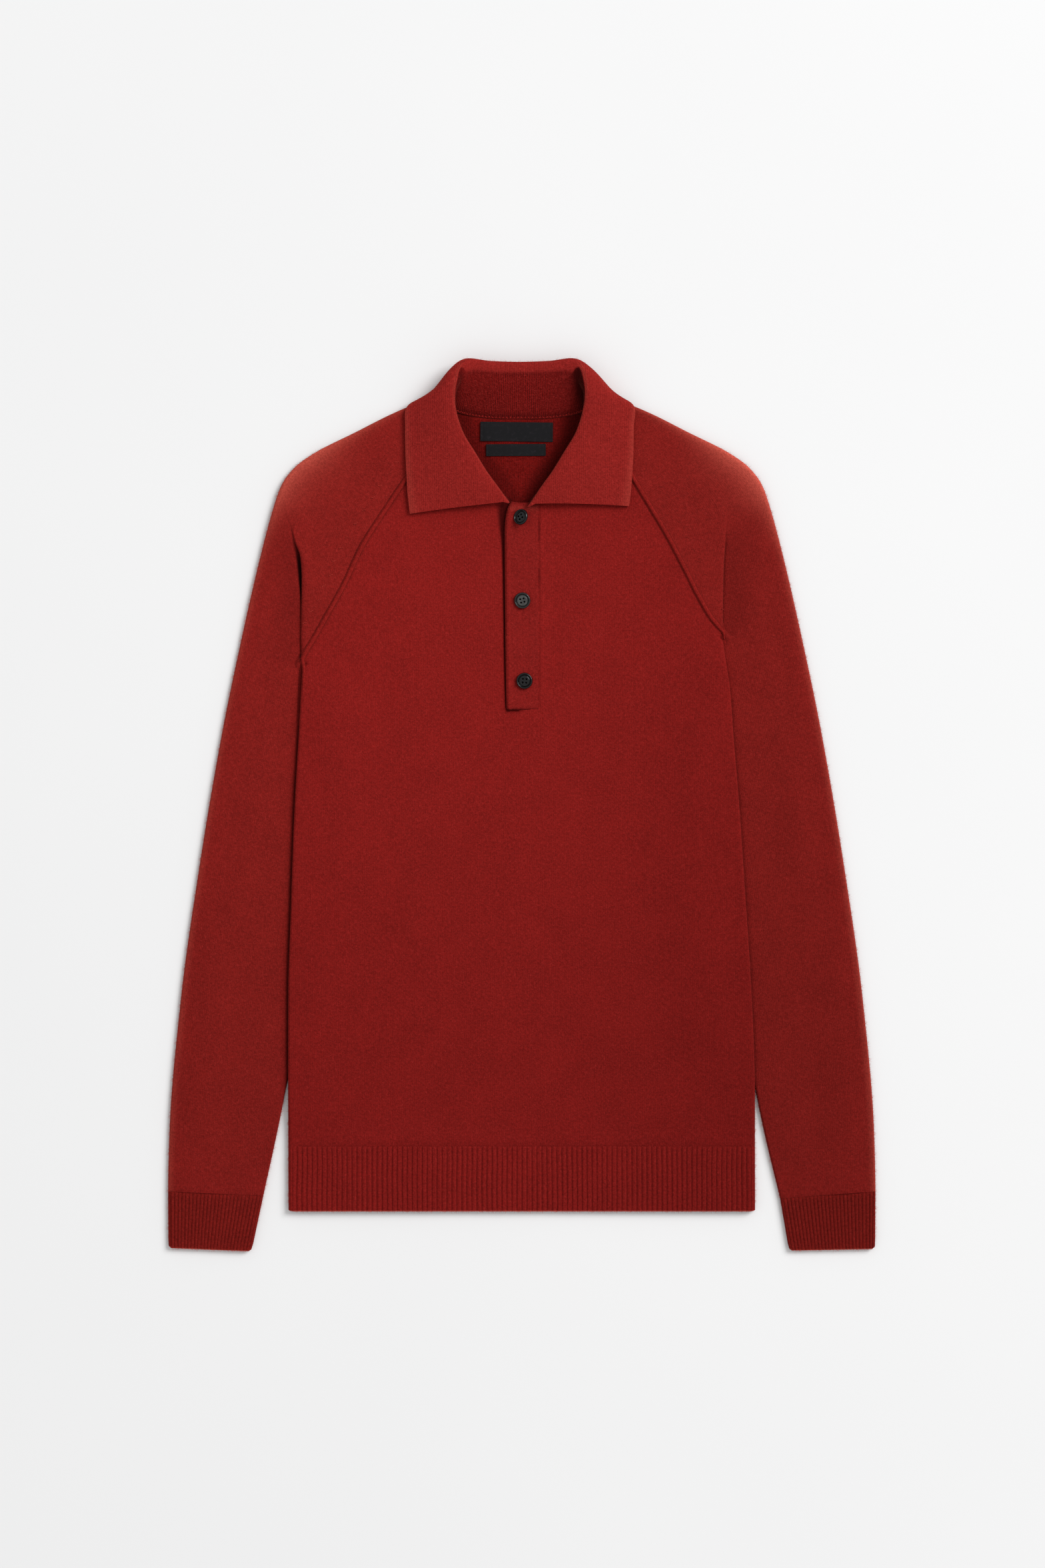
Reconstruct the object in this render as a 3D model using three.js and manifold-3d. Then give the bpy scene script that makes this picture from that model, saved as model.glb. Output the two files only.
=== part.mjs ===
// A long-sleeved knitted polo sweater with raglan sleeves, laid out flat on its back on a table.
// Units are millimetres. X runs across the sweater, Y from the hem towards the neck and Z up from the table.
// Left and right are as seen from above. Every knitted piece is a wall of cloth round a middle surface.

import * as THREE from "three";
import { mergeVertices } from "three/addons/utils/BufferGeometryUtils.js";
import Module from "manifold-3d";

const wasm = await Module();
wasm.setup();

// ---------------------------------------------------------------- driving sizes
const CLOTH = 1.6; // wall of the plain knit and the ribs
const COLLAR_CLOTH = 2.0; // the collar is knitted double
const SEAM = 0.3; // space between pieces that are sewn together
const FLOOR = CLOTH / 2; // middle surface of cloth that lies on the table

const SLEEVE_LOFT = 2.8; // from the sleeve's back layer to its front layer
const BODY_LOFT = 3.8; // from the back to the front, along the middle of the body
const CHEST_RISE = 1.4; // how much higher the front is at its sides than in the middle
const OVER_SLEEVE = FLOOR + SLEEVE_LOFT + CLOTH + SEAM; // middle surface of the back where it lies on a sleeve
const BODY_ON_SLEEVE_LOFT = 2.6; // from the back to the front where both lie on a sleeve

const HEM_HEIGHT = 55; // top of the ribbed hem
const HEM_BOTTOM = -1;
const HEM_RIBS = 88;
const CUFF_RIBS = 17;
const RIB_RELIEF = 0.7; // how far a rib stands out
const RIB_CREST = 0.74; // share of a rib's pitch that is crest

const SEAM_RIDGE = { width: 3.8, height: 1.1 }; // raised linking along the front raglan seams
const TUCK_GROOVE = 0.7; // extra depth at the foot of the underarm tuck

const PLACKET = { left: -13.5, right: 15.8, bottom: 432.2, top: 611.5, under: 13, step: 5.2 };
const BUTTON = { diameter: 14, thickness: 2.8, hole: 1.7, holeSpacing: 2.9 };
const BUTTON_PLACES = [
  { name: "button_top", x: -0.6, y: 597.8 },
  { name: "button_middle", x: 0.5, y: 525.6 },
  { name: "button_bottom", x: 2.2, y: 456.3 },
];
const LABEL_THICKNESS = 0.6;
const LABELS = [
  { name: "label_main", x: -4.5, y: 671.3, width: 62.7, height: 16.7 },
  { name: "label_care", x: -5.1, y: 655.6, width: 51.5, height: 10.3 },
];

// ---------------------------------------------------------------- outlines, seen from above
// Half the width over both sleeves at each height, from beside the collar down to the cuffs.
const SLEEVE_OUTLINE = [
  { y: 700, x: 76 },
  { y: 692.5, x: 99 },
  { y: 670, x: 145.5 },
  { y: 653, x: 179 },
  { y: 641, x: 195.5 },
  { y: 627, x: 206.5 },
  { y: 612, x: 212.4 },
  { y: 569, x: 224.3 },
  { y: 497, x: 241 },
  { y: 411, x: 258.8 },
  { y: 296, x: 278.3 },
  { y: 181, x: 294.4 },
  { y: 66, x: 304.2 },
  { y: 9, x: 305.4 },
  { y: -34, x: 305 },
];

// Each side's edge of the body, front raglan seam and hidden inner fold of the sleeve, as distances from the middle.
const SIDES = {
  left: {
    sign: -1,
    armpit: 474,
    tucksUnder: 440, // below this height the sleeve runs under the body
    bodyEdge: [
      { y: 474, x: 188.8 },
      { y: 451, x: 190.2 },
      { y: 412, x: 192.3 },
      { y: 345, x: 196.1 },
      { y: 257, x: 199.3 },
      { y: 190, x: 201.4 },
      { y: 114, x: 201.6 },
      { y: 0, x: 201.4 },
    ],
    raglan: [
      { y: 689, x: 56 },
      { y: 652.6, x: 81.6 },
      { y: 626, x: 100.6 },
      { y: 600, x: 118 },
      { y: 570, x: 136.8 },
      { y: 540, x: 150.8 },
      { y: 510, x: 167.4 },
      { y: 491.6, x: 177.8 },
      { y: 474, x: 188.9 },
    ],
    tuckLine: 189, // where the sleeve folds under above the armpit
    innerFold: [
      { y: 474, x: 189.4 },
      { y: 451, x: 190.7 },
      { y: 440, x: 191.1 },
      { y: 420, x: 184 },
      { y: 395, x: 175 },
      { y: 350, x: 169 },
      { y: 290, x: 170 },
      { y: 225, x: 177 },
      { y: 170, x: 187.5 },
      { y: 114, x: 201.5 },
      { y: 66, x: 211.4 },
      { y: 12, x: 223.2 },
    ],
    cuff: { topOuter: 15.8, topInner: 12.1, bottomOuter: -32.8, bottomInner: -35.6, bottomX: 233.2 },
  },
  right: {
    sign: 1,
    armpit: 497,
    tucksUnder: 462,
    bodyEdge: [
      { y: 497, x: 173 },
      { y: 470, x: 176.5 },
      { y: 450, x: 179.6 },
      { y: 412, x: 182.4 },
      { y: 345, x: 187.9 },
      { y: 279, x: 192.3 },
      { y: 213, x: 196.7 },
      { y: 147, x: 200 },
      { y: 106, x: 201.1 },
      { y: 0, x: 201.4 },
    ],
    raglan: [
      { y: 690, x: 59 },
      { y: 659, x: 77.8 },
      { y: 633, x: 93 },
      { y: 610, x: 106.8 },
      { y: 580, x: 124.6 },
      { y: 550, x: 140.3 },
      { y: 530, x: 150.3 },
      { y: 510, x: 162 },
      { y: 497, x: 173.1 },
    ],
    tuckLine: 173.4,
    innerFold: [
      { y: 497, x: 173.6 },
      { y: 470, x: 177 },
      { y: 462, x: 178.3 },
      { y: 440, x: 171 },
      { y: 418, x: 163 },
      { y: 385, x: 158 },
      { y: 320, x: 159 },
      { y: 250, x: 168 },
      { y: 180, x: 182.5 },
      { y: 106, x: 201 },
      { y: 66, x: 209.5 },
      { y: 10, x: 223 },
    ],
    cuff: { topOuter: 15.8, topInner: 9.8, bottomOuter: -33.6, bottomInner: -35, bottomX: 230.6 },
  },
};

// Sections of a sleeve between the neck and the armpit. outer and inner are shares of the way down the outline and
// down the raglan seam, and drop is how far the cloth outside the underarm tuck lies below it.
const CAP_SECTIONS = [
  { outer: 0, inner: 0, drop: 0 },
  { outer: 0.05, inner: 0.1, drop: 0 },
  { outer: 0.13, inner: 0.21, drop: 0 },
  { outer: 0.215, inner: 0.32, drop: 0 },
  { outer: 0.265, inner: 0.39, drop: 0 },
  { outer: 0.31, inner: 0.45, drop: 0 },
  { outer: 0.355, inner: 0.51, drop: 0 },
  { outer: 0.41, inner: 0.575, drop: 0.2 },
  { outer: 0.49, inner: 0.655, drop: 0.9 },
  { outer: 0.56, inner: 0.715, drop: 2.2 },
  { outer: 0.66, inner: 0.79, drop: 2.8 },
  { outer: 0.82, inner: 0.89, drop: 2.8 },
  { outer: 0.93, inner: 0.96, drop: 2.6 },
  { outer: 1, inner: 1, drop: 2.2 },
];
// Sections between the armpit and the cuff, as shares of that way.
const ARM_SECTIONS = [0.018, 0.045, 0.072, 0.1, 0.135, 0.18, 0.25, 0.34, 0.44, 0.55, 0.66, 0.77, 0.88, 1];

// The collar's sections, from the middle of the back to the front end: its seam, the two turns of its fold and its
// free edge. x is from the collar's own middle, and the other half mirrors it.
const COLLAR_MIDDLE = -2;
const COLLAR_POINT_DROP = 3.3; // the left point lies this much lower, and the right one higher
const COLLAR_SECTIONS = [
  { seam: [0, 684, 1.5], turnIn: [0, 722, 16.5], turnOut: [0, 731.3, 12], edge: [0, 703, 1.3] },
  { seam: [26, 684.6, 1.5], turnIn: [24, 722.6, 17], turnOut: [25, 732, 12.3], edge: [28, 703, 1.3] },
  { seam: [48, 688, 1.9], turnIn: [42, 723.5, 18], turnOut: [46.3, 733.6, 13], edge: [52, 704, 1.3] },
  { seam: [60, 692, 3.1], turnIn: [49.5, 720, 18.5], turnOut: [53.6, 726.5, 16.5], edge: [64, 712, 1.4] },
  { seam: [69, 694, 3.9], turnIn: [54, 712, 17.5], turnOut: [58.5, 716, 20], edge: [77, 702.5, 2.4] },
  { seam: [76, 688, 4.4], turnIn: [56.8, 703, 17.5], turnOut: [61.5, 704.5, 20.5], edge: [96.2, 691.8, 7.8] },
  { seam: [79, 674, 4.8], turnIn: [55.4, 689, 16.5], turnOut: [60, 690, 19.5], edge: [98.2, 675, 8.5] },
  { seam: [76, 657, 4.8], turnIn: [48.5, 669.5, 15], turnOut: [53, 669.5, 18], edge: [98, 654, 8.5] },
  { seam: [63, 639, 4.9], turnIn: [38, 652, 13.5], turnOut: [42, 651, 16.5], edge: [97.3, 636.5, 8.8] },
  { seam: [43, 624.5, 5.2], turnIn: [26.8, 634, 12], turnOut: [30, 632.5, 14.8], edge: [96.4, 621, 8.6] },
  { seam: [25, 616.5, 6], turnIn: [17.4, 622, 10.8], turnOut: [20.4, 620.1, 13.4], edge: [95.4, 611, 8.4] },
  { seam: [14.2, 614, 6.6], turnIn: [11, 615.2, 9.3], turnOut: [14.2, 612.8, 11.9], edge: [94.4, 603.5, 8.4] },
];

// ---------------------------------------------------------------- colours and finishes
const knit = (name, color) => Object.assign(new THREE.MeshStandardMaterial({ color, roughness: 0.95 }), { name });
const KNIT = knit("plain_knit", "#8a1f1a");
const RIB = knit("rib_knit", "#7a1b17");
const COLLAR_KNIT = knit("collar_knit", "#8f2420");
const HORN = Object.assign(new THREE.MeshStandardMaterial({ color: "#1b1a19", roughness: 0.35 }), { name: "button" });
const TAPE = knit("label", "#222124");

// ---------------------------------------------------------------- small helpers
const mix = THREE.MathUtils.lerp;
const ease = (t) => THREE.MathUtils.smoothstep(t, 0, 1);

// A smooth function of one named column through a table's rows, straight beyond its ends.
function through(rows, from, to) {
  const p = rows.map((row) => [row[from], row[to]]).sort((a, b) => a[0] - b[0]);
  const rise = p.slice(1).map(([x, y], i) => (y - p[i][1]) / (x - p[i][0]));
  const slope = p.map((_, i) => {
    if (i === 0 || i === p.length - 1) return rise[Math.min(i, rise.length - 1)];
    return rise[i - 1] * rise[i] <= 0 ? 0 : (2 * rise[i - 1] * rise[i]) / (rise[i - 1] + rise[i]);
  });
  return (x) => {
    if (x <= p[0][0]) return p[0][1] + slope[0] * (x - p[0][0]);
    const last = p.length - 1;
    if (x >= p[last][0]) return p[last][1] + slope[last] * (x - p[last][0]);
    const i = p.findIndex((_, k) => x < p[k + 1][0]);
    const h = p[i + 1][0] - p[i][0];
    const t = (x - p[i][0]) / h;
    const early = (1 + 2 * t) * (1 - t) ** 2 * p[i][1] + t * (1 - t) ** 2 * h * slope[i];
    return early + t * t * (3 - 2 * t) * p[i + 1][1] + t * t * (t - 1) * h * slope[i + 1];
  };
}

// Shares from 0 to 1 in equal steps.
const steps = (count) => Array.from({ length: count + 1 }, (_, i) => i / count);

// The direction along a row at column c. At an end it turns on by half the row's last turn.
function heading(row, c) {
  const last = row.length - 1;
  if (c > 0 && c < last) return new THREE.Vector3().subVectors(row[c + 1], row[c - 1]);
  const inward = c === 0 ? 1 : -1;
  const end = new THREE.Vector3().subVectors(row[c], row[c + inward]).normalize();
  const before = new THREE.Vector3().subVectors(row[c + inward], row[c + 2 * inward]).normalize();
  return end.multiplyScalar(1.5).addScaledVector(before, -0.5).multiplyScalar(-inward);
}

// A closed wall of cloth round the middle points grid[row][column]. outside is 1 or -1, the side of the grid that is
// the right side of the knit, and relief(row, column) raises that side alone.
function clothWall(grid, outside, thickness = CLOTH, relief = () => 0) {
  const rows = grid.length;
  const columns = grid[0].length;
  const outer = [];
  const inner = [];
  const along = new THREE.Vector3();
  for (let r = 0; r < rows; r++) {
    for (let c = 0; c < columns; c++) {
      along.subVectors(grid[Math.min(r + 1, rows - 1)][c], grid[Math.max(r - 1, 0)][c]);
      const normal = heading(grid[r], c).cross(along).normalize().multiplyScalar(outside);
      outer.push(grid[r][c].clone().addScaledVector(normal, thickness / 2 + relief(r, c)));
      inner.push(grid[r][c].clone().addScaledVector(normal, -thickness / 2));
    }
  }
  const faces = [];
  const quad = (a, b, c, d) => faces.push(a, b, c, a, c, d);
  const at = (r, c) => r * columns + c;
  const far = rows * columns;
  for (let r = 0; r < rows - 1; r++) {
    for (let c = 0; c < columns - 1; c++) {
      quad(at(r, c), at(r, c + 1), at(r + 1, c + 1), at(r + 1, c));
      quad(far + at(r, c), far + at(r + 1, c), far + at(r + 1, c + 1), far + at(r, c + 1));
    }
    const end = columns - 1;
    quad(at(r, 0), at(r + 1, 0), far + at(r + 1, 0), far + at(r, 0));
    quad(at(r + 1, end), at(r, end), far + at(r, end), far + at(r + 1, end));
  }
  for (let c = 0; c < columns - 1; c++) {
    const end = rows - 1;
    quad(at(0, c + 1), at(0, c), far + at(0, c), far + at(0, c + 1));
    quad(at(end, c), at(end, c + 1), far + at(end, c + 1), far + at(end, c));
  }
  if (outside < 0) for (let i = 0; i < faces.length; i += 3) [faces[i], faces[i + 1]] = [faces[i + 1], faces[i]];
  return new THREE.BufferGeometry().setFromPoints([...outer, ...inner]).setIndex(faces);
}

function toSolid(geometry) {
  const bare = geometry.clone();
  bare.deleteAttribute("normal");
  bare.deleteAttribute("uv");
  const merged = mergeVertices(bare, 1e-4);
  const vertProperties = merged.attributes.position.array;
  const triVerts = new Uint32Array(merged.index.array);
  return new wasm.Manifold(new wasm.Mesh({ numProp: 3, vertProperties, triVerts }));
}

function cutAway(geometry, ...cutters) {
  const mesh = cutters.reduce((left, cutter) => left.subtract(toSolid(cutter)), toSolid(geometry)).getMesh();
  const made = new THREE.BufferGeometry();
  made.setAttribute("position", new THREE.BufferAttribute(new Float32Array(mesh.vertProperties), 3));
  return made.setIndex(new THREE.BufferAttribute(new Uint32Array(mesh.triVerts), 1));
}

const sweater = new THREE.Group();

function addPiece(name, geometry, material) {
  const mesh = new THREE.Mesh(geometry, material);
  mesh.name = name;
  sweater.add(mesh);
  return mesh;
}

// ---------------------------------------------------------------- the lie of the cloth
const outline = through(SLEEVE_OUTLINE, "y", "x");
for (const side of Object.values(SIDES)) {
  side.edgeAt = through(side.bodyEdge, "y", "x");
  side.raglanAt = through(side.raglan, "y", "x");
  side.foldAt = through(side.innerFold, "y", "x");
  side.neck = side.raglan[0].y;
}
const sideOf = (x) => (x < 0 ? SIDES.left : SIDES.right);

// How far, from 0 to 1, the body is lifted at a point by the sleeve that lies under its side.
const RAMP = 62; // width over which the body comes down beside a sleeve
const HEM_DROP = { from: 58, to: 110 }; // heights between which the body comes down to its hem

function kneeAt(side, y) {
  return y > side.armpit ? side.raglanAt(y) - 14 : Math.min(side.foldAt(y) - 3, side.edgeAt(y) - 9);
}

function lift(x, y) {
  const side = sideOf(x);
  const across = ease((Math.abs(x) - kneeAt(side, y) + RAMP) / RAMP);
  const low = ease((y - HEM_DROP.from) / (HEM_DROP.to - HEM_DROP.from));
  const high = 1 - ease((y - side.tucksUnder - 1) / (side.armpit - side.tucksUnder - 1));
  return across * low * high;
}

const backHeight = (x, y) => FLOOR + (OVER_SLEEVE - FLOOR) * lift(x, y);

function frontHeight(x, y) {
  const rise = mix(0.4, 1, ease(y / 250)) * CHEST_RISE * ease((Math.abs(x) - 20) / 130);
  const onSleeve = OVER_SLEEVE + BODY_ON_SLEEVE_LOFT - (FLOOR + BODY_LOFT + CHEST_RISE);
  return FLOOR + BODY_LOFT + rise + onSleeve * lift(x, y);
}

// ---------------------------------------------------------------- front, back and hem
const CURL_STEPS = 4; // facets round a fold
const CURL_LENGTH = 8; // how far below the armpit the side fold is fully round
const SIDE_SEAM = 0.65; // from the end of the rolled front to the back, along the table

// Half a body panel's columns at height y, as distances from the middle out to the given edge.
function halfColumns(side, y, edge) {
  const knee = Math.min(kneeAt(side, y), edge - 5);
  const start = Math.max(knee - RAMP, 6);
  const ramp = steps(3).map((t) => mix(start, knee, t));
  return [0, start * 0.5, ...ramp, (knee + edge) / 2, edge];
}

// A row across the body at height y, from the left edge to the right. The front's ends roll under to the side seams.
function frontRow(y, columnsOf) {
  const half = (side) => {
    const open = y > side.armpit;
    const curl = Math.PI * ease((side.armpit - y) / CURL_LENGTH);
    const edge = open ? side.raglanAt(y) - RAGLAN_GAP : side.edgeAt(y) - CLOTH / 2;
    const top = frontHeight(side.sign * edge, y);
    const radius = (top - backHeight(side.sign * edge, y)) / 2;
    const flat = edge - radius * Math.sin(Math.min(curl, Math.PI / 2)) - (open || curl === 0 ? radius : 0);
    const points = columnsOf(side, y, flat).map((x) => {
      const place = side.sign * x;
      return new THREE.Vector3(place, y, x === flat ? top : frontHeight(place, y));
    });
    for (const t of steps(CURL_STEPS).slice(1)) {
      const turn = curl * t;
      const x = curl === 0 ? mix(flat, edge, t) : flat + radius * Math.sin(turn);
      points.push(new THREE.Vector3(side.sign * x, y, top - radius * (1 - Math.cos(turn))));
    }
    return points;
  };
  const left = half(SIDES.left).reverse();
  return [...left, ...half(SIDES.right).slice(1)];
}

function backRow(level, neckline = null) {
  const half = (side) => {
    let y = level;
    if (neckline) for (let i = 0; i < 6; i++) y = neckline(side.sign * side.raglanAt(y));
    let edge = side.raglanAt(y) - RAGLAN_GAP;
    if (y <= side.armpit) {
      const rim = side.edgeAt(y) - CLOTH / 2;
      const radius = (frontHeight(side.sign * rim, y) - backHeight(side.sign * rim, y)) / 2;
      edge = mix(edge, rim - radius - SIDE_SEAM, ease((side.armpit - y) / CURL_LENGTH));
    }
    return halfColumns(side, y, edge).map((x) => {
      const place = side.sign * x;
      const lineY = neckline ? neckline(place) : y;
      return new THREE.Vector3(place, lineY, backHeight(place, lineY));
    });
  };
  const left = half(SIDES.left).reverse();
  return [...left, ...half(SIDES.right).slice(1)];
}

const BODY_ROWS = [
  HEM_HEIGHT + SEAM, 70, 83, 97, 112, 145, 195, 245, 300, 350, 390, 415, 430, 441, 452, 463, 468, 474, 482, 489, 493,
  497,
];
const FRONT_TOP_ROWS = [503, 510, 519, 530, 545, 560, 580, 602, 625, 645, 664];
const BACK_TOP_ROWS = [503, 510, 519, 532, 550, 572, 600, 632, 655, 674];
const NECK_SEAM = 0.8; // from the collar's seam line to the back's top edge
const RAGLAN_GAP = SEAM * 0.8; // from a raglan line to the cloth on each side of it
const LINE_STEPS = 40; // points along the collar's seam line where a panel is cut to it

// The opening for the neck: the collar's seam line round the front and the sides, moved out by half its wall and the
// seam's space, and open towards the back.
const NECK_SIDE = 5; // the section at which the seam line leaves the side for the back
const NECK_SPACE = 0.5; // from the collar's wall to the edge of the opening
const BEYOND = 30; // how far a cutter reaches past what it cuts

function neckCutter(from) {
  const grow = COLLAR_CLOTH / 2 + NECK_SPACE;
  const line = (sign) => {
    const sections = COLLAR_SECTIONS.slice(NECK_SIDE);
    const ends = sections.map(({ seam }) => new THREE.Vector2(COLLAR_MIDDLE + sign * seam[0], seam[1]));
    return sign < 0 ? ends : ends.reverse();
  };
  const loop = new THREE.SplineCurve([...line(-1), ...line(1)]).getPoints(LINE_STEPS);
  const grown = loop.map((p, i) => {
    const before = loop[Math.max(i - 1, 0)];
    const after = loop[Math.min(i + 1, loop.length - 1)];
    return p.clone().add(new THREE.Vector2(after.y - before.y, before.x - after.x).setLength(grow));
  });
  const behind = SIDES.left.neck + 2 * BEYOND;
  const corners = [grown.at(-1), grown[0]].map(({ x }) => new THREE.Vector2(x, behind));
  const shape = new THREE.Shape([...grown, ...corners]);
  return new THREE.ExtrudeGeometry(shape, { depth: BEYOND, bevelEnabled: false }).translate(0, 0, from);
}

function boxBetween(low, high) {
  const size = high.map((value, i) => value - low[i]);
  const middle = high.map((value, i) => (value + low[i]) / 2);
  return new THREE.BoxGeometry(...size).translate(...middle);
}

function makeFront() {
  const rows = [...BODY_ROWS, ...FRONT_TOP_ROWS].map((y) => frontRow(y, halfColumns));
  const slit = boxBetween(
    [PLACKET.left + PLACKET.step - SEAM, PLACKET.bottom - SEAM, 0],
    [PLACKET.right + SEAM, PLACKET.top + BEYOND, BEYOND],
  );
  addPiece("front", cutAway(clothWall(rows, 1), neckCutter(0), slit), KNIT);
}

function makeBack() {
  const rows = [...BODY_ROWS, ...BACK_TOP_ROWS].map((y) => backRow(y));
  const seam = collarPath("seam");
  const backHalf = steps(LINE_STEPS).map((t) => seam.getPoint(0.25 + t / 2));
  const neckline = through(backHalf, "x", "y");
  rows.push(backRow(SIDES.left.neck, (x) => neckline(x) - NECK_SEAM));
  addPiece("back", clothWall(rows, -1), KNIT);
}

// Where the ribs' crests and valleys lie across a band, as shares of its width.
function ribShares(count) {
  const side = (1 - RIB_CREST) / 2;
  return Array.from({ length: count }, (_, i) => [i, i + side, i + 1 - side].map((t) => t / count)).flat().concat(1);
}

function makeHem() {
  const shares = ribShares(HEM_RIBS / 2);
  const columns = (side, y, edge) => shares.map((t) => t * edge);
  const rows = [HEM_BOTTOM, HEM_HEIGHT].map((y) => frontRow(y, columns));
  const ribs = (r, c) => {
    const middle = (rows[0].length - 1) / 2;
    const place = Math.abs(c - middle);
    return place >= shares.length - 1 || place % 3 === 0 ? 0 : RIB_RELIEF;
  };
  addPiece("hem_front", clothWall(rows, 1, CLOTH, ribs), RIB);
  addPiece("hem_back", clothWall([HEM_BOTTOM, HEM_HEIGHT].map((y) => backRow(y)), -1), RIB);
}

// ---------------------------------------------------------------- sleeves and cuffs
const OUTER_FOLD = { cap: 2.2, arm: SLEEVE_LOFT / 2 }; // radius of the fold along the outer edge
const SHOULDER_REACH = 26; // how far in from that fold the cloth is still rising
const SLEEVE_CROWN = 0.7; // how much the arm's front layer swells between its folds
const BACK_STEPS = 3;
const FRONT_STEPS = 4;
const TUCK_STEPS = [-6, -2.4, -0.9, 0.5, 2.2]; // distances from the tuck's foot to its top
const TUCK_SPACE = 1.2; // least cloth between the outer fold and the tuck's steps
const CAP_STEPS = 3;
const RIDGE_STEPS = 3;

// The outer edge's middle surface at height y: the outline, moved in square to itself by half the wall.
function outerAt(side, y) {
  const slope = (outline(y + 1) - outline(y - 1)) / 2;
  return new THREE.Vector2(side.sign * (outline(y) - (CLOTH / 2) * Math.hypot(1, slope)), y);
}

function sleeveSections(side) {
  const outerNeck = SLEEVE_OUTLINE[0].y;
  const outerArmpit = side.armpit + 16;
  const cap = CAP_SECTIONS.map(({ outer, inner, drop }) => {
    const y = mix(side.neck, side.armpit, inner);
    const seam = new THREE.Vector2(side.sign * (side.raglanAt(y) + RAGLAN_GAP), y);
    const top = frontHeight(seam.x - side.sign * SEAM, y);
    return { outer: outerAt(side, mix(outerNeck, outerArmpit, outer)), inner: seam, curl: 0, drop, top };
  });
  const arm = ARM_SECTIONS.map((t) => {
    const y = mix(side.armpit, side.cuff.topInner + SEAM, t);
    const fold = new THREE.Vector2(side.sign * (side.foldAt(y) + CLOTH / 2), y);
    const outer = outerAt(side, mix(outerArmpit, side.cuff.topOuter + SEAM, t));
    return { outer, inner: fold, curl: 1, drop: 0, top: FLOOR + SLEEVE_LOFT };
  });
  return [...cap, ...arm];
}

// One section as points (distance in from the outer edge, height), from the back seam round the outer fold to the
// front seam. The columns mean the same in every section. tuck is the distance from the outer edge to the line where
// the sleeve folds under.
function sleeveProfile({ width, curl, tuck, drop, top, radius, crown }) {
  const points = [];
  const innerRadius = SLEEVE_LOFT / 2;
  const ends = steps(2).map((t) => {
    const turn = (Math.PI / 2) * (1 - t);
    const inward = mix(width - innerRadius * t, width - innerRadius * (1 - Math.sin(turn)), curl);
    return { inward, rise: curl * (innerRadius * (1 - Math.cos(turn)) - (t === 0 ? SEAM / 2 : 0)) };
  });
  for (const end of ends) points.push([end.inward, FLOOR + end.rise]);
  for (const t of steps(BACK_STEPS).slice(1)) points.push([mix(width - innerRadius, radius, t), FLOOR]);
  for (const t of steps(CURL_STEPS).slice(1)) {
    const turn = Math.PI * t;
    points.push([radius * (1 - Math.sin(turn)), FLOOR + radius * (1 - Math.cos(turn))]);
  }
  const crest = FLOOR + 2 * radius;
  const squeeze = THREE.MathUtils.clamp((width - tuck) / 9, 0.25, 1);
  const ridge = curl ? innerRadius : SEAM_RIDGE.width * squeeze;
  const places = TUCK_STEPS.map((t) => (t > 0 ? t * squeeze : t));
  const nearest = Math.max(width * 0.25, radius - places[0] + TUCK_SPACE);
  const foot = THREE.MathUtils.clamp(tuck, nearest, width - ridge - places.at(-1) - TUCK_SPACE / 2);
  const height = (inward) => {
    const low = mix(crest, top - drop, ease((inward - radius) / Math.min(SHOULDER_REACH, foot - radius)));
    const swell = crown * (ease((inward - radius) / 18) - ease((inward - 32) / 22));
    const step = ease((inward - foot + 1.2) / 2.4);
    const groove = TUCK_GROOVE * Math.min(drop / 2, 1) * Math.exp(-(((inward - foot + 2) / 3) ** 2));
    return low + swell + drop * step - groove;
  };
  const front = [
    ...steps(FRONT_STEPS).slice(1).map((t) => mix(radius, foot + places[0], t)),
    ...places.slice(1).map((t) => foot + t),
    ...steps(CAP_STEPS).slice(1).map((t) => mix(foot + places.at(-1), width - ridge, t)),
  ];
  for (const inward of front) points.push([inward, height(inward)]);
  for (const t of steps(RIDGE_STEPS).slice(1)) {
    const turn = (Math.PI / 2) * t;
    const rolled = width - ridge * (1 - Math.sin(turn));
    const sunk = curl * (ridge * (1 - Math.cos(turn)) - (t === 1 ? SEAM / 2 : 0));
    points.push([mix(mix(width - ridge, width, t), rolled, curl), height(mix(width - ridge, width, t)) - sunk]);
  }
  return points;
}

function makeSleeve(name, side) {
  const sections = sleeveSections(side);
  const grid = sections.map((section, i) => {
    const reach = new THREE.Vector2().subVectors(section.inner, section.outer);
    const width = reach.length();
    reach.normalize();
    const armward = ease((i - 6) / 6);
    const radius = Math.min(mix(OUTER_FOLD.cap, OUTER_FOLD.arm, armward), width / 5);
    const tuck = (Math.abs(section.outer.x) - side.tuckLine) / Math.abs(reach.x);
    const profile = sleeveProfile({ ...section, width, tuck, radius, crown: SLEEVE_CROWN * armward });
    return profile.map(([inward, z]) => {
      const place = section.outer.clone().addScaledVector(reach, inward);
      return new THREE.Vector3(place.x, place.y, z);
    });
  });
  const last = grid[0].length - 1;
  const ridge = (r, c) => {
    const fade = ease((r - 2) / 2) * (1 - ease((r - (CAP_SECTIONS.length - 3)) / 2));
    const height = [0.25, 1, 0.85, 0][last - c] ?? 0;
    return sections[r].curl ? 0 : SEAM_RIDGE.height * height * fade;
  };
  const wall = clothWall(grid, side.sign, CLOTH, ridge);
  addPiece(name, cutAway(wall, neckCutter(FLOOR + CLOTH / 2 + SEAM)), KNIT);
}

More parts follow.
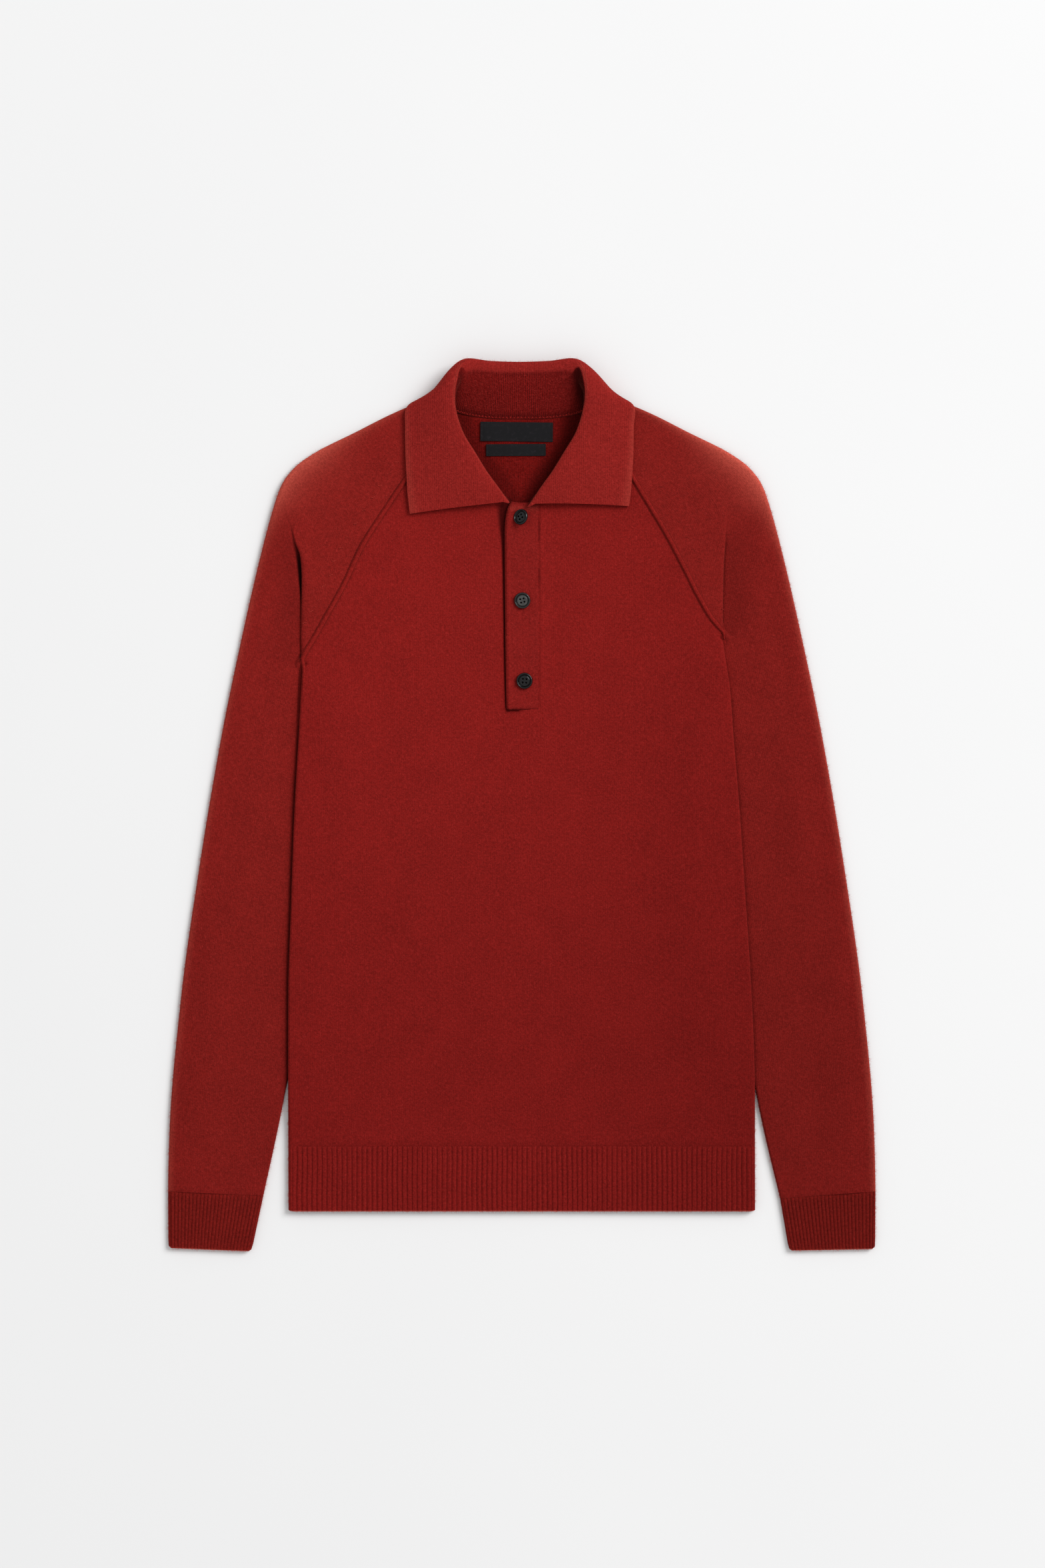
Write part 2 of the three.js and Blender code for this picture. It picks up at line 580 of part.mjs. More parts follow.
// A cuff is a flattened ring like the arm, with ribs across its front layer.
function makeCuff(name, side) {
  const { topOuter, topInner, bottomOuter, bottomInner, bottomX } = side.cuff;
  const shares = ribShares(CUFF_RIBS);
  const radius = OUTER_FOLD.arm;
  const innerAt = (x, y) => new THREE.Vector2(side.sign * (x + CLOTH / 2), y);
  const ends = [
    { outer: outerAt(side, topOuter), inner: innerAt(side.foldAt(topInner), topInner) },
    { outer: outerAt(side, bottomOuter), inner: innerAt(bottomX, bottomInner) },
  ];
  const grid = ends.map(({ outer, inner }) => {
    const reach = new THREE.Vector2().subVectors(inner, outer);
    const width = reach.length();
    reach.normalize();
    const roll = (t, level) => {
      const turn = (Math.PI / 2) * t;
      const z = radius * (1 - Math.cos(turn)) - (t === 1 ? SEAM / 2 : 0);
      return [width - radius * (1 - Math.sin(turn)), level > radius ? FLOOR + level - z : FLOOR + z];
    };
    const profile = [
      ...[1, 0.5, 0].map((t) => roll(t, 0)),
      ...steps(2).slice(1).map((t) => [mix(width - radius, radius, t), FLOOR]),
      ...steps(CURL_STEPS).slice(1, -1).map((t) => {
        const turn = Math.PI * t;
        return [radius * (1 - Math.sin(turn)), FLOOR + radius * (1 - Math.cos(turn))];
      }),
      ...shares.map((t) => [mix(radius, width - radius, t), FLOOR + SLEEVE_LOFT]),
      ...[0.5, 1].map((t) => roll(t, SLEEVE_LOFT)),
    ];
    return profile.map(([inward, z]) => {
      const place = outer.clone().addScaledVector(reach, inward);
      return new THREE.Vector3(place.x, place.y, z);
    });
  });
  const first = 4 + CURL_STEPS;
  const ribs = (r, c) => {
    const place = c - first;
    return place <= 0 || place >= shares.length - 1 || place % 3 === 0 ? 0 : RIB_RELIEF;
  };
  addPiece(name, clothWall(grid, side.sign, CLOTH, ribs), RIB);
}

// ---------------------------------------------------------------- collar
// A smooth line along the collar through one named point of every section, from its left end to its right end.
function collarPath(point) {
  const half = (sign) =>
    COLLAR_SECTIONS.map((section, i) => {
      const [x, y, z] = section[point];
      const forward = point === "edge" ? ease((i - 4) / (COLLAR_SECTIONS.length - 5)) : 0;
      return new THREE.Vector3(COLLAR_MIDDLE + sign * x, y + sign * COLLAR_POINT_DROP * forward, z);
    });
  return new THREE.CatmullRomCurve3([...half(-1).reverse(), ...half(1).slice(1)], false, "centripetal");
}

const COLLAR_STEPS_PER_SECTION = 2;
// Places down a section, in the parameter of its curve: the stand, round the fold and down the fall.
const COLLAR_ACROSS = [0, 0.11, 0.2, 0.26, 0.34, 0.42, 0.5, 0.58, 0.66, 0.74, 0.86, 1];
// As shares of the distance between a section's two turns: how far they are drawn back down the collar, and how far
// the crest of the fold stands past the line between them.
const FOLD = { back: 0.2, crest: 0.24 };

// A section's curve. The fold between its two turns is rounded.
function collarSection([seam, turnIn, turnOut, edge]) {
  const upward = new THREE.Vector3().subVectors(turnIn, seam).normalize();
  const inward = new THREE.Vector3().subVectors(turnOut, edge).normalize();
  const out = upward.add(inward).setLength(turnIn.distanceTo(turnOut));
  const crest = turnIn.clone().lerp(turnOut, 0.5).addScaledVector(out, FOLD.crest);
  const turns = [turnIn, turnOut].map((turn) => turn.clone().addScaledVector(out, -FOLD.back));
  return new THREE.CatmullRomCurve3([seam, turns[0], crest, turns[1], edge], false, "centripetal");
}

function makeCollar() {
  const paths = ["seam", "turnIn", "turnOut", "edge"].map(collarPath);
  const count = (COLLAR_SECTIONS.length - 1) * 2 * COLLAR_STEPS_PER_SECTION;
  const grid = steps(count).map((u) => {
    const section = collarSection(paths.map((path) => path.getPoint(u)));
    return COLLAR_ACROSS.map((v) => section.getPoint(v));
  });
  addPiece("collar", clothWall(grid, 1, COLLAR_CLOTH), COLLAR_KNIT);
}

// ---------------------------------------------------------------- placket, buttons and labels
const PLACKET_TOP_HEIGHT = FLOOR + BODY_LOFT + CLOTH + SEAM + 0.1; // middle surface along its free edge
const PLACKET_LEVEL = 6; // how far in from that edge it starts to come down
const PLACKET_ROWS = 8;

// The over placket's middle height: free and raised at its left edge, level with the front where it is sewn on.
function placketHeight(x) {
  const flush = FLOOR + BODY_LOFT;
  const level = PLACKET.left + PLACKET_LEVEL;
  const share = THREE.MathUtils.clamp((x - level) / (PLACKET.right - level), 0, 1);
  return mix(PLACKET_TOP_HEIGHT, flush, share);
}

function makePlackets() {
  const ys = steps(PLACKET_ROWS).map((t) => mix(PLACKET.bottom, PLACKET.top, t));
  const xs = [0, 0.1, 0.21, 0.5, 0.75, 1].map((t) => mix(PLACKET.left, PLACKET.right, t));
  const over = ys.map((y) => xs.map((x) => new THREE.Vector3(x, y, placketHeight(x))));
  addPiece("placket_over", clothWall(over, 1), KNIT);
  const left = PLACKET.left + PLACKET.step;
  const shorter = 2; // how far the under placket stops short at both ends
  const onBack = 2 * FLOOR + SEAM + CLOTH / 2;
  const under = steps(PLACKET_ROWS).map((t) => {
    const y = mix(PLACKET.bottom + shorter, PLACKET.top - shorter, t);
    const heightAt = (s) => mix(FLOOR + BODY_LOFT - 0.1, onBack, s);
    return steps(4).map((s) => new THREE.Vector3(mix(left, PLACKET.under, s), y, heightAt(s)));
  });
  addPiece("placket_under", clothWall(under, 1), KNIT);
}

// A dished four-hole button, its back at z = 0.
function buttonGeometry() {
  const r = BUTTON.diameter / 2;
  const t = BUTTON.thickness;
  const profile = [
    [0, 0],
    [r - 1.2, 0],
    [r - 0.3, 0.5],
    [r, t * 0.5],
    [r - 0.4, t - 0.3],
    [r - 1.1, t],
    [r - 1.9, t - 0.5],
    [r - 2.6, t - 0.8],
    [0, t - 0.8],
  ].map(([x, y]) => new THREE.Vector2(x, y));
  const disc = new THREE.LatheGeometry(profile, 18).rotateX(Math.PI / 2);
  const corner = BUTTON.holeSpacing / 2;
  const drill = new THREE.CylinderGeometry(BUTTON.hole / 2, BUTTON.hole / 2, 4 * t, 6).rotateX(Math.PI / 2);
  const holes = [-1, 1].flatMap((i) => [-1, 1].map((j) => drill.clone().translate(i * corner, j * corner, 0)));
  return cutAway(disc, ...holes);
}

function makeButtons() {
  const lean = Math.atan((placketHeight(-5) - placketHeight(5)) / 10);
  for (const { name, x, y } of BUTTON_PLACES) {
    const button = addPiece(name, buttonGeometry(), HORN);
    button.position.set(x, y, placketHeight(x) + CLOTH / 2 + SEAM);
    button.rotation.y = lean;
  }
}

function makeLabels() {
  for (const { name, x, y, width, height } of LABELS) {
    const label = addPiece(name, new THREE.BoxGeometry(width, height, LABEL_THICKNESS), TAPE);
    label.position.set(x, y, CLOTH + SEAM + LABEL_THICKNESS / 2);
  }
}

// ---------------------------------------------------------------- the sweater
makeFront();
makeBack();
makeHem();
makeSleeve("sleeve_left", SIDES.left);
makeSleeve("sleeve_right", SIDES.right);
makeCuff("cuff_left", SIDES.left);
makeCuff("cuff_right", SIDES.right);
makeCollar();
makePlackets();
makeButtons();
makeLabels();

// The origin is under the middle of the sweater's outline, on the table.
const reach = new THREE.Box3().setFromObject(sweater, true);
const middle = reach.getCenter(new THREE.Vector3());
sweater.position.set(-middle.x, -middle.y, -reach.min.z);

export default sweater;
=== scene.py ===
"""A long-sleeved knitted polo sweater with raglan sleeves, laid flat on its back on a pale table.

Sizes are in millimetres, with the hem near y = 0, the middle of the body at x = 0 and the table at z = 0, as
in the part's source. place() turns them into the row frame's metres. Left and right are as seen from above.
"""
import random
from functools import lru_cache
from math import atan2, cos, exp, hypot, pi, radians, sin, sqrt
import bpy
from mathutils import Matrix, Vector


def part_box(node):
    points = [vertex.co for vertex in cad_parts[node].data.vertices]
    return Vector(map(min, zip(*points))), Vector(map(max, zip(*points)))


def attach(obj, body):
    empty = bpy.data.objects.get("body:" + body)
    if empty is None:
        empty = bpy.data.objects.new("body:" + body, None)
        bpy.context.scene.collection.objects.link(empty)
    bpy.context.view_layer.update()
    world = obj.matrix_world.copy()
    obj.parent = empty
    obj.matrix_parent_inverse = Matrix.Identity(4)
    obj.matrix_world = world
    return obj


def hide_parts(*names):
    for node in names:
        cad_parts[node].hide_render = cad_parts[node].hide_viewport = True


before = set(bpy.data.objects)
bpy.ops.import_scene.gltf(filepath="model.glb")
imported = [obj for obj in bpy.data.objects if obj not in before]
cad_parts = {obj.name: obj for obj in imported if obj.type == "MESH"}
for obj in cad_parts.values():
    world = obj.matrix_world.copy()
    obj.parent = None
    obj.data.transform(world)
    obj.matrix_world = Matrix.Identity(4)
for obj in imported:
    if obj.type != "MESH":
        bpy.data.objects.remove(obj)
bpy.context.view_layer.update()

from types import SimpleNamespace as Facts

import bmesh
import bpy
from mathutils import Matrix, Vector, noise

# ---------------------------------------------------------------- small helpers
PER_METRE = 1000


def mix(a, b, t):
    return a + (b - a) * t


def clamp(value, low=0.0, high=1.0):
    return max(low, min(high, value))


def ease(t):
    t = clamp(t)
    return t * t * (3 - 2 * t)


def hump(distance, width):
    return exp(-((distance / width) ** 2))


def through(points):
    """A smooth function through (from, to) pairs, straight beyond its ends."""
    points = sorted(points)
    rise = [(b[1] - a[1]) / (b[0] - a[0]) for a, b in zip(points, points[1:])]
    slopes = [rise[0]]
    for before, after in zip(rise, rise[1:]):
        slopes.append(0 if before * after <= 0 else 2 * before * after / (before + after))
    slopes.append(rise[-1])

    def value(x):
        if x <= points[0][0]:
            return points[0][1] + slopes[0] * (x - points[0][0])
        if x >= points[-1][0]:
            return points[-1][1] + slopes[-1] * (x - points[-1][0])
        i = next(k for k in range(len(points) - 1) if x < points[k + 1][0])
        h = points[i + 1][0] - points[i][0]
        t = (x - points[i][0]) / h
        early = (1 + 2 * t) * (1 - t) ** 2 * points[i][1] + t * (1 - t) ** 2 * h * slopes[i]
        return early + t * t * (3 - 2 * t) * points[i + 1][1] + t * t * (t - 1) * h * slopes[i + 1]

    return value


def curve_through(points):
    """A smooth line through points, even at short and long spans. It gives the point at t from 0 to 1."""
    points = [Vector(p) for p in points]
    padded = [2 * points[0] - points[1], *points, 2 * points[-1] - points[-2]]
    spans = [max((b - a).length, 1e-6) ** 0.5 for a, b in zip(padded, padded[1:])]
    last = len(points) - 1

    def value(t):
        at = clamp(t) * last
        i = min(int(at), last - 1)
        w = at - i
        a, b, c, d = padded[i:i + 4]
        ab, bc, cd = spans[i:i + 3]
        leave = ((b - a) / ab - (c - a) / (ab + bc) + (c - b) / bc) * bc
        arrive = ((c - b) / bc - (d - b) / (bc + cd) + (d - c) / cd) * bc
        turn = 2 * b - 2 * c + leave + arrive
        bend = -3 * b + 3 * c - 2 * leave - arrive
        return b + leave * w + bend * w * w + turn * w ** 3

    return value


def running_lengths(steps):
    """The distance travelled at each point of a line, from the lengths of its steps."""
    travelled = [0.0]
    for step in steps:
        travelled.append(travelled[-1] + step)
    return travelled


# ---------------------------------------------------------------- sizes shared with the solids
CLOTH = 1.6
COLLAR_CLOTH = 2.0
SEAM = 0.3
FLOOR = CLOTH / 2
SLEEVE_LOFT = 2.8
BODY_LOFT = 3.8
CHEST_RISE = 1.4
OVER_SLEEVE = FLOOR + SLEEVE_LOFT + CLOTH + SEAM
BODY_ON_SLEEVE_LOFT = 2.6
HEM_HEIGHT = 55
HEM_BOTTOM = -1
HEM_RIBS = 92
CUFF_RIBS = 24
OUTLINE_TOP = 700
PLACKET = Facts(left=-14.0, right=15.0, bottom=432.2, top=611.5, under=13, step=5.2)

BUTTON_RADIUS = 7
# Each button's place, how far it leans, the line it leans about, its holes' turn and how deep it presses.
BUTTONS = {
    "button_top": Facts(x=-0.1, y=597.2, lean=-0.62, about=(0.27, 0.96, 0), twist=0.5, press=1.1),
    "button_middle": Facts(x=0.5, y=525.6, lean=0.07, about=(1, -1, 0), twist=0.25, press=0.45),
    "button_bottom": Facts(x=2.2, y=456.3, lean=0.05, about=(0, 1, 0), twist=-0.08, press=0.45),
}
LABELS = {
    "label_main": Facts(x=-4.5, y=671.3, width=62.7, height=16.7, tilt=-0.012),
    "label_care": Facts(x=-5.1, y=655.6, width=51.5, height=10.3, tilt=0.006),
}

# A sleeve's outer edge, and for each side the lines it meets: how far out each lies at a height up the body.
outline = through([
    (OUTLINE_TOP, 76), (692.5, 99), (670, 145.5), (653, 179), (641, 195.5), (627, 206.5), (612, 212.4),
    (569, 224.3), (497, 241), (411, 258.8), (296, 278.3), (181, 294.4), (66, 304.2), (9, 305.4), (-34, 305),
])
LEFT = Facts(
    sign=-1, armpit=474, tucks_under=440, neck=689, overhang=3.2, tuck_shade=0.95, slot_shade=0.75,
    seam_end=30, seam_to=-1.7, rim_light=1, mark_size=1,
    tuck=through([(510, 188.8), (545, 188.4), (555, 189), (565, 190.5), (575, 194.5), (600, 202)]),
    tuck_gap=through([(505, 1.6), (525, 2.6), (545, 4.6), (558, 4.8), (570, 3), (582, 1.4)]),
    edge=through([(474, 188.8), (451, 190.2), (412, 192.3), (345, 196.1), (257, 199.3), (190, 201.4),
                  (114, 201.6), (0, 201.4)]),
    raglan=through([(689, 56), (652.6, 81.6), (626, 100.6), (600, 118), (570, 136.8), (540, 150.8),
                    (510, 167.4), (491.6, 177.8), (474, 188.9)]),
    fold=through([(474, 189.4), (451, 190.7), (440, 191.1), (420, 184), (395, 175), (350, 169), (290, 170),
                  (225, 177), (170, 187.5), (114, 201.5), (66, 211.4), (12, 223.2)]),
    cuff=Facts(top_outer=15.8, top_inner=12.1, bottom_outer=-32.8, bottom_inner=-35.6, bottom_x=233.2),
)
RIGHT = Facts(
    sign=1, armpit=497, tucks_under=462, neck=690, overhang=0.8, tuck_shade=0.4, slot_shade=0.28,
    seam_end=5, seam_to=0.9, rim_light=1.12, mark_size=0.6,
    tuck=through([(505, 172.8), (530, 173), (553, 173.5), (570, 174.5), (600, 177)]),
    tuck_gap=through([(505, 1), (545, 1.6), (570, 1.6), (582, 1.2)]),
    edge=through([(497, 173), (470, 176.5), (450, 179.6), (412, 182.4), (345, 187.9), (279, 192.3),
                  (213, 196.7), (147, 200), (106, 201.1), (0, 201.4)]),
    raglan=through([(690, 59), (659, 77.8), (633, 93), (610, 106.8), (580, 124.6), (550, 140.3),
                    (530, 150.3), (510, 162), (497, 173.1)]),
    fold=through([(497, 173.6), (470, 177), (462, 178.3), (440, 171), (418, 163), (385, 158), (320, 159),
                  (250, 168), (180, 182.5), (106, 201), (66, 209.5), (10, 223)]),
    cuff=Facts(top_outer=15.8, top_inner=9.8, bottom_outer=-33.6, bottom_inner=-35, bottom_x=230.6),
)
SIDES = {"left": LEFT, "right": RIGHT}

# A sleeve between the neck and the armpit: how far down its outline and its raglan seam a section lies, and
# how far the cloth outside the underarm tuck lies below it.
CAP_OUTER = [0, 0.05, 0.13, 0.215, 0.265, 0.31, 0.355, 0.41, 0.49, 0.56, 0.66, 0.82, 0.93, 1]
CAP_INNER = [0, 0.1, 0.21, 0.32, 0.39, 0.45, 0.51, 0.575, 0.655, 0.715, 0.79, 0.89, 0.96, 1]
CAP_DROP = [0, 0, 0, 0, 0, 0, 0, 0.2, 0.9, 2.2, 2.8, 2.8, 2.6, 2.2]
cap_outer, cap_inner, cap_drop = [through(enumerate(values)) for values in (CAP_OUTER, CAP_INNER, CAP_DROP)]

COLLAR_MIDDLE = -2
COLLAR_POINT_DROP = 3.3
# The collar's sections from the middle of the back to the front end: seam, both turns of the fold, free edge.
COLLAR_SECTIONS = [
    ((0, 684, 1.5), (0, 722, 16.5), (0, 731.3, 12), (0, 703, 1.3)),
    ((26, 684.6, 1.5), (24, 722.6, 17), (25, 732, 12.3), (28, 703, 1.3)),
    ((48, 688, 1.9), (42, 723.5, 18), (46.3, 733.6, 13), (52, 704, 1.3)),
    ((60, 692, 3.1), (49.5, 720, 18.5), (53.6, 726.5, 16.5), (64, 712, 1.4)),
    ((69, 694, 3.9), (54, 712, 17.5), (58.5, 716, 20), (77, 702.5, 2.4)),
    ((76, 688, 4.4), (56.8, 703, 17.5), (61.5, 704.5, 20.5), (96.2, 691.8, 7.8)),
    ((79, 674, 4.8), (55.4, 689, 16.5), (60, 690, 19.5), (98.2, 675, 8.5)),
    ((76, 657, 4.8), (48.5, 669.5, 15), (53, 669.5, 18), (98, 654, 8.5)),
    ((63, 639, 4.9), (38, 652, 13.5), (42, 651, 16.5), (97.3, 636.5, 8.8)),
    ((43, 624.5, 5.2), (26.8, 634, 12), (30, 632.5, 14.8), (96.4, 621, 8.6)),
    ((25, 616.5, 6), (17.4, 622, 10.8), (20.4, 620.1, 13.4), (95.4, 611, 8.4)),
    ((14.2, 614, 6.6), (11, 615.2, 9.3), (14.2, 612.8, 11.9), (94.4, 603.5, 8.4)),
]
FOLD_BACK = 0.2
FOLD_CREST = 0.24

label_low, label_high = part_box("label_main")
SHIFT_X = (label_low.x + label_high.x) * PER_METRE / 2 - LABELS["label_main"].x
SHIFT_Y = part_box("hem_front")[0].y * PER_METRE - HEM_BOTTOM


def place(x, y, z):
    return Vector(((x + SHIFT_X) / PER_METRE, (y + SHIFT_Y) / PER_METRE, z / PER_METRE))


# ---------------------------------------------------------------- the lie of the cloth
RAMP = 62
RAGLAN_GAP = SEAM * 0.8
CURL_LENGTH = 8
SIDE_SLOT = 3.4


def side_of(x):
    return LEFT if x < 0 else RIGHT


@lru_cache(maxsize=None)
def row_facts(sign, y):
    """How far out the body starts to lie over a sleeve in a row, and how fully it does so there."""
    side = side_of(sign)
    knee = side.raglan(y) - 14 if y > side.armpit else min(side.fold(y) - 3, side.edge(y) - 9)
    high = 1 - ease((y - side.tucks_under - 1) / (side.armpit - side.tucks_under - 1))
    return knee, ease((y - HEM_HEIGHT - 3) / 52) * high


def lift(x, y):
    knee, along = row_facts(-1 if x < 0 else 1, y)
    return ease((abs(x) - knee + RAMP) / RAMP) * along


def back_height(x, y):
    return FLOOR + (OVER_SLEEVE - FLOOR) * lift(x, y)


def front_height(x, y):
    rise = mix(0.4, 1, ease(y / 250)) * CHEST_RISE * ease((abs(x) - 20) / 130)
    on_sleeve = OVER_SLEEVE + BODY_ON_SLEEVE_LOFT - (FLOOR + BODY_LOFT + CHEST_RISE)
    return FLOOR + BODY_LOFT + rise + on_sleeve * lift(x, y)


# Soft creases laid into the cloth: from and to points, half width and height, negative for a trough.
BODY_CREASES = [
    ((-150, 470), (-108, 395), 16, -0.5),
    ((-172, 440), (-140, 330), 13, 0.45),
    ((150, 492), (112, 420), 15, -0.5),
    ((168, 455), (140, 350), 12, 0.4),
    ((24, 590), (30, 400), 9, -0.5),
    ((-20, 430), (-34, 330), 12, -0.3),
    ((12, 428), (26, 350), 10, 0.35),
    ((-120, 300), (-60, 120), 26, 0.35),
    ((90, 260), (130, 110), 24, -0.35),
    ((-165, 250), (-150, 90), 18, -0.3),
    ((170, 300), (158, 120), 16, 0.3),
    ((-60, 560), (-104, 500), 18, -0.3),
    ((70, 560), (112, 512), 18, -0.3),
]
ARM_CREASES = [
    ((232, 560), (246, 440), 9, 0.5),
    ((214, 520), (236, 420), 8, -0.5),
    ((250, 400), (262, 250), 10, -0.45),
    ((226, 380), (246, 240), 12, 0.4),
    ((268, 240), (280, 60), 9, 0.4),
    ((248, 190), (258, 40), 9, -0.4),
    ((205, 470), (222, 440), 12, -0.5),
    ((196, 560), (215, 520), 12, -0.6),
]


def crease_height(creases, x, y):
    total = 0
    for (x0, y0), (x1, y1), width, height in creases:
        dx, dy = x1 - x0, y1 - y0
        length = hypot(dx, dy)
        along = ((x - x0) * dx + (y - y0) * dy) / length
        across = abs((x - x0) * dy - (y - y0) * dx) / length
        if across < 3 * width and -width < along < length + width:
            ends = ease((along + width) / (2 * width)) * ease((length + width - along) / (2 * width))
            total += height * hump(across, width) * ends
    return total


def waver(x, y, size, seed=0.0):
    return noise.noise(Vector((x / size, y / size, seed)))


placket_left = through([(432, -12.6), (470, -13.4), (540, -14), (585, -14.2), (593, -13.8), (600.6, -12.8),
                        (605, -11.5), (609.5, -9.6), (612, -8.2)])
placket_slot_width = through([(428, 0.8), (436, 1.9), (500, 2.3), (567, 3.4), (584, 5), (604, 9)])


def placket_slot(x, y):
    """How far the front has sunk into the slot along the free edge of the placket, from 0 to 1."""
    if not -40 < x < 0 or y < PLACKET.bottom - 6:
        return 0
    away = (placket_left(y) - x) / placket_slot_width(y)
    return (1 - ease((away - 0.62) / 0.75)) * ease((y - 427) / 6)


def front_relief(x, y):
    soft = 0.34 * waver(x, y * 0.6, 46) + 0.13 * waver(x, y, 15, 4)
    above_hem = y - HEM_HEIGHT
    blouse = 0.45 * hump(above_hem - 6, 5) - 0.75 * (1 - ease((above_hem + 0.4) / 2.6))
    seam_ridge = 0.28 * hump(x - 17.4, 1.4) * ease((y - 428) / 8)
    folds = soft * ease((above_hem - 1) / 30) + crease_height(BODY_CREASES, x, y)
    return folds + blouse + seam_ridge - 1.5 * placket_slot(x, y)


# Painted shade on the front: in the slot beside the placket's free edge, along the raglan seams above the
# armpits, and a dark stitched line along the placket's sewn edge.
def front_painted_shade(x, y):
    side = side_of(x)
    dark = 0.8 * placket_slot(x, y)
    if y > side.armpit:
        dark += 0.45 * hump(side.raglan(y) - abs(x), 1.1)
    stitches = 0.16 + 0.22 * ease((y - 520) / 30) * (1 + sin(y * 2.4))
    return clamp(dark + stitches * hump(x - 15, 0.9) * ease((y - 430) / 6))


def side_slot(side, x, y):
    """The painted shade in the slot where the folded edge of the body lies over a sleeve."""
    away = (abs(x) - side.edge(y) - 0.2) / SIDE_SLOT
    return side.slot_shade * (1 - ease(away)) * ease((side.armpit + 8 - y) / 10)


# ---------------------------------------------------------------- making meshes
def knitted_grid(columns, rows, point):
    """A grid of cloth. point(c, r) gives a vertex's place in millimetres, how far across and along the knit
    it is, how much painted shade darkens it, how brightly its hairs are lit as a painted highlight, and
    whether it is on the stand."""
    bm = bmesh.new()
    bmesh.ops.create_grid(bm, x_segments=columns, y_segments=rows, size=0.5)
    layers = [bm.verts.layers.float.new(name) for name in ("painted_shade", "lit", "stand")]
    knit = {}
    for vert in bm.verts:
        c, r = round((vert.co.x + 0.5) * columns), round((vert.co.y + 0.5) * rows)
        (x, y, z), across_along, *values = point(c, r)
        vert.co = place(x, y, max(z, FLOOR))
        knit[vert] = [distance / PER_METRE for distance in across_along]
        for layer, value in zip(layers, values):
            vert[layer] = value
    uv = bm.loops.layers.uv.new("knit")
    for face in bm.faces:
        for loop in face.loops:
            loop[uv].uv = knit[loop.vert]
    return smoothed(bm)


def smoothed(bm):
    for face in bm.faces:
        face.smooth = True
    return bm


def as_mesh(name, bm):
    mesh = bpy.data.meshes.new(name)
    bm.to_mesh(mesh)
    bm.free()
    return mesh


def in_scene(name, data):
    made = bpy.data.objects.new(name, data)
    bpy.context.collection.objects.link(made)
    return made


def finished(name, bm, material, node=None, wall=0.0, rounding=0.5):
    """The bmesh as a piece that rides on the sweater and stands for the given solid."""
    piece = in_scene(name, as_mesh(name, bm))
    piece.data.materials.append(material)
    if wall:
        thickness = piece.modifiers.new("wall", "SOLIDIFY")
        thickness.thickness = wall / PER_METRE
        thickness.offset = 0
    if wall and rounding:
        edge = piece.modifiers.new("edge", "BEVEL")
        edge.width = rounding / PER_METRE
        edge.segments = 2
        edge.limit_method = "ANGLE"
        edge.angle_limit = radians(58)
    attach(piece, "root")
    if node:
        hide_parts(node)
    return piece


def knitted(name, columns, rows, point, material, node, wall=CLOTH, rounding=0.5):
    return finished(name, knitted_grid(columns, rows, point), material, node, wall, rounding)


def cut_faces(bm, inside):
    faces = [face for face in bm.faces if inside(face.calc_center_median())]
    bmesh.ops.delete(bm, geom=faces, context="FACES")


def slice_at(bm, point, normal, near):
    faces = [face for face in bm.faces if near(face.calc_center_median())]
    edges = {edge for face in faces for edge in face.edges}
    verts = {vert for face in faces for vert in face.verts}
    bmesh.ops.bisect_plane(bm, geom=[*verts, *edges, *faces], dist=1e-7, plane_co=point, plane_no=normal)


# ---------------------------------------------------------------- colours and finishes
def paint(red, green, blue):
    """A colour given in the usual 0 to 255 screen values."""
    shares = [value / 255 for value in (red, green, blue)]
    return (*(c / 12.92 if c <= 0.04045 else ((c + 0.055) / 1.055) ** 2.4 for c in shares), 1.0)


class Signal:
    """A value inside a shader. Sums written with it add the nodes that work them out."""

    def __init__(self, nodes, socket):
        self.nodes, self.socket = nodes, socket

    def math(self, operation, *others):
        return self.nodes.add("Math", [self, *others], operation=operation)

    def __add__(self, other):
        return self.math("ADD", other)

    def __sub__(self, other):
        return self.math("SUBTRACT", other)

    def __rsub__(self, other):
        return self.nodes.add("Math", [other, self], operation="SUBTRACT")

    def __mul__(self, other):
        return self.math("MULTIPLY", other)

    def __truediv__(self, other):
        return self.math("DIVIDE", other)

    def wave(self):
        """Up from 0 to 1 and down again each time the value grows by one."""
        return self.math("PINGPONG", 0.5) * 2.0

    def ranged(self, low, high, to_low=0.0, to_high=1.0):
        return self.nodes.add("MapRange", [self, low, high, to_low, to_high], interpolation_type="SMOOTHSTEP")


class Nodes:
    """A shader's node tree, with a short way to add each kind of node that is used here."""

    def __init__(self, tree):
        self.tree = tree

    def wire(self, socket, value):
        if isinstance(value, Signal):
            self.tree.links.new(value.socket, socket)
        else:
            socket.default_value = value

    def add(self, kind, inputs, output=0, **settings):
        """A node of a kind with its inputs, a list or a dictionary by name or number. It gives one output."""
        made = self.tree.nodes.new("ShaderNode" + kind)
        for name, value in settings.items():
            setattr(made, name, value)
        for key, value in inputs.items() if isinstance(inputs, dict) else enumerate(inputs):
            self.wire(made.inputs[key], value)
        return Signal(self, made.outputs[output])

    def coordinate(self, kind):
        return self.add("TexCoord", [], kind)

    def mask(self, name):
        return self.add("Attribute", [], "Fac", attribute_name=name)

    def axis(self, vector, number):
        return self.add("SeparateXYZ", [vector], number)

    def scaled(self, vector, scale):
        return self.add("VectorMath", [vector, scale], operation="MULTIPLY")

    def noise(self, vector, scale, detail=2.0, roughness=0.5, output=0):
        inputs = {"Vector": vector, "Scale": scale, "Detail": detail, "Roughness": roughness}
        return self.add("TexNoise", inputs, output)

    def mix(self, share, first, second):
        return self.add("Mix", {0: share, 6: first, 7: second}, 2, data_type="RGBA")

    def group(self, tree, **inputs):
        made = self.tree.nodes.new("ShaderNodeGroup")
        made.node_tree = tree
        for name, value in inputs.items():
            self.wire(made.inputs[name], value)
        return {socket.name: Signal(self, socket) for socket in made.outputs}


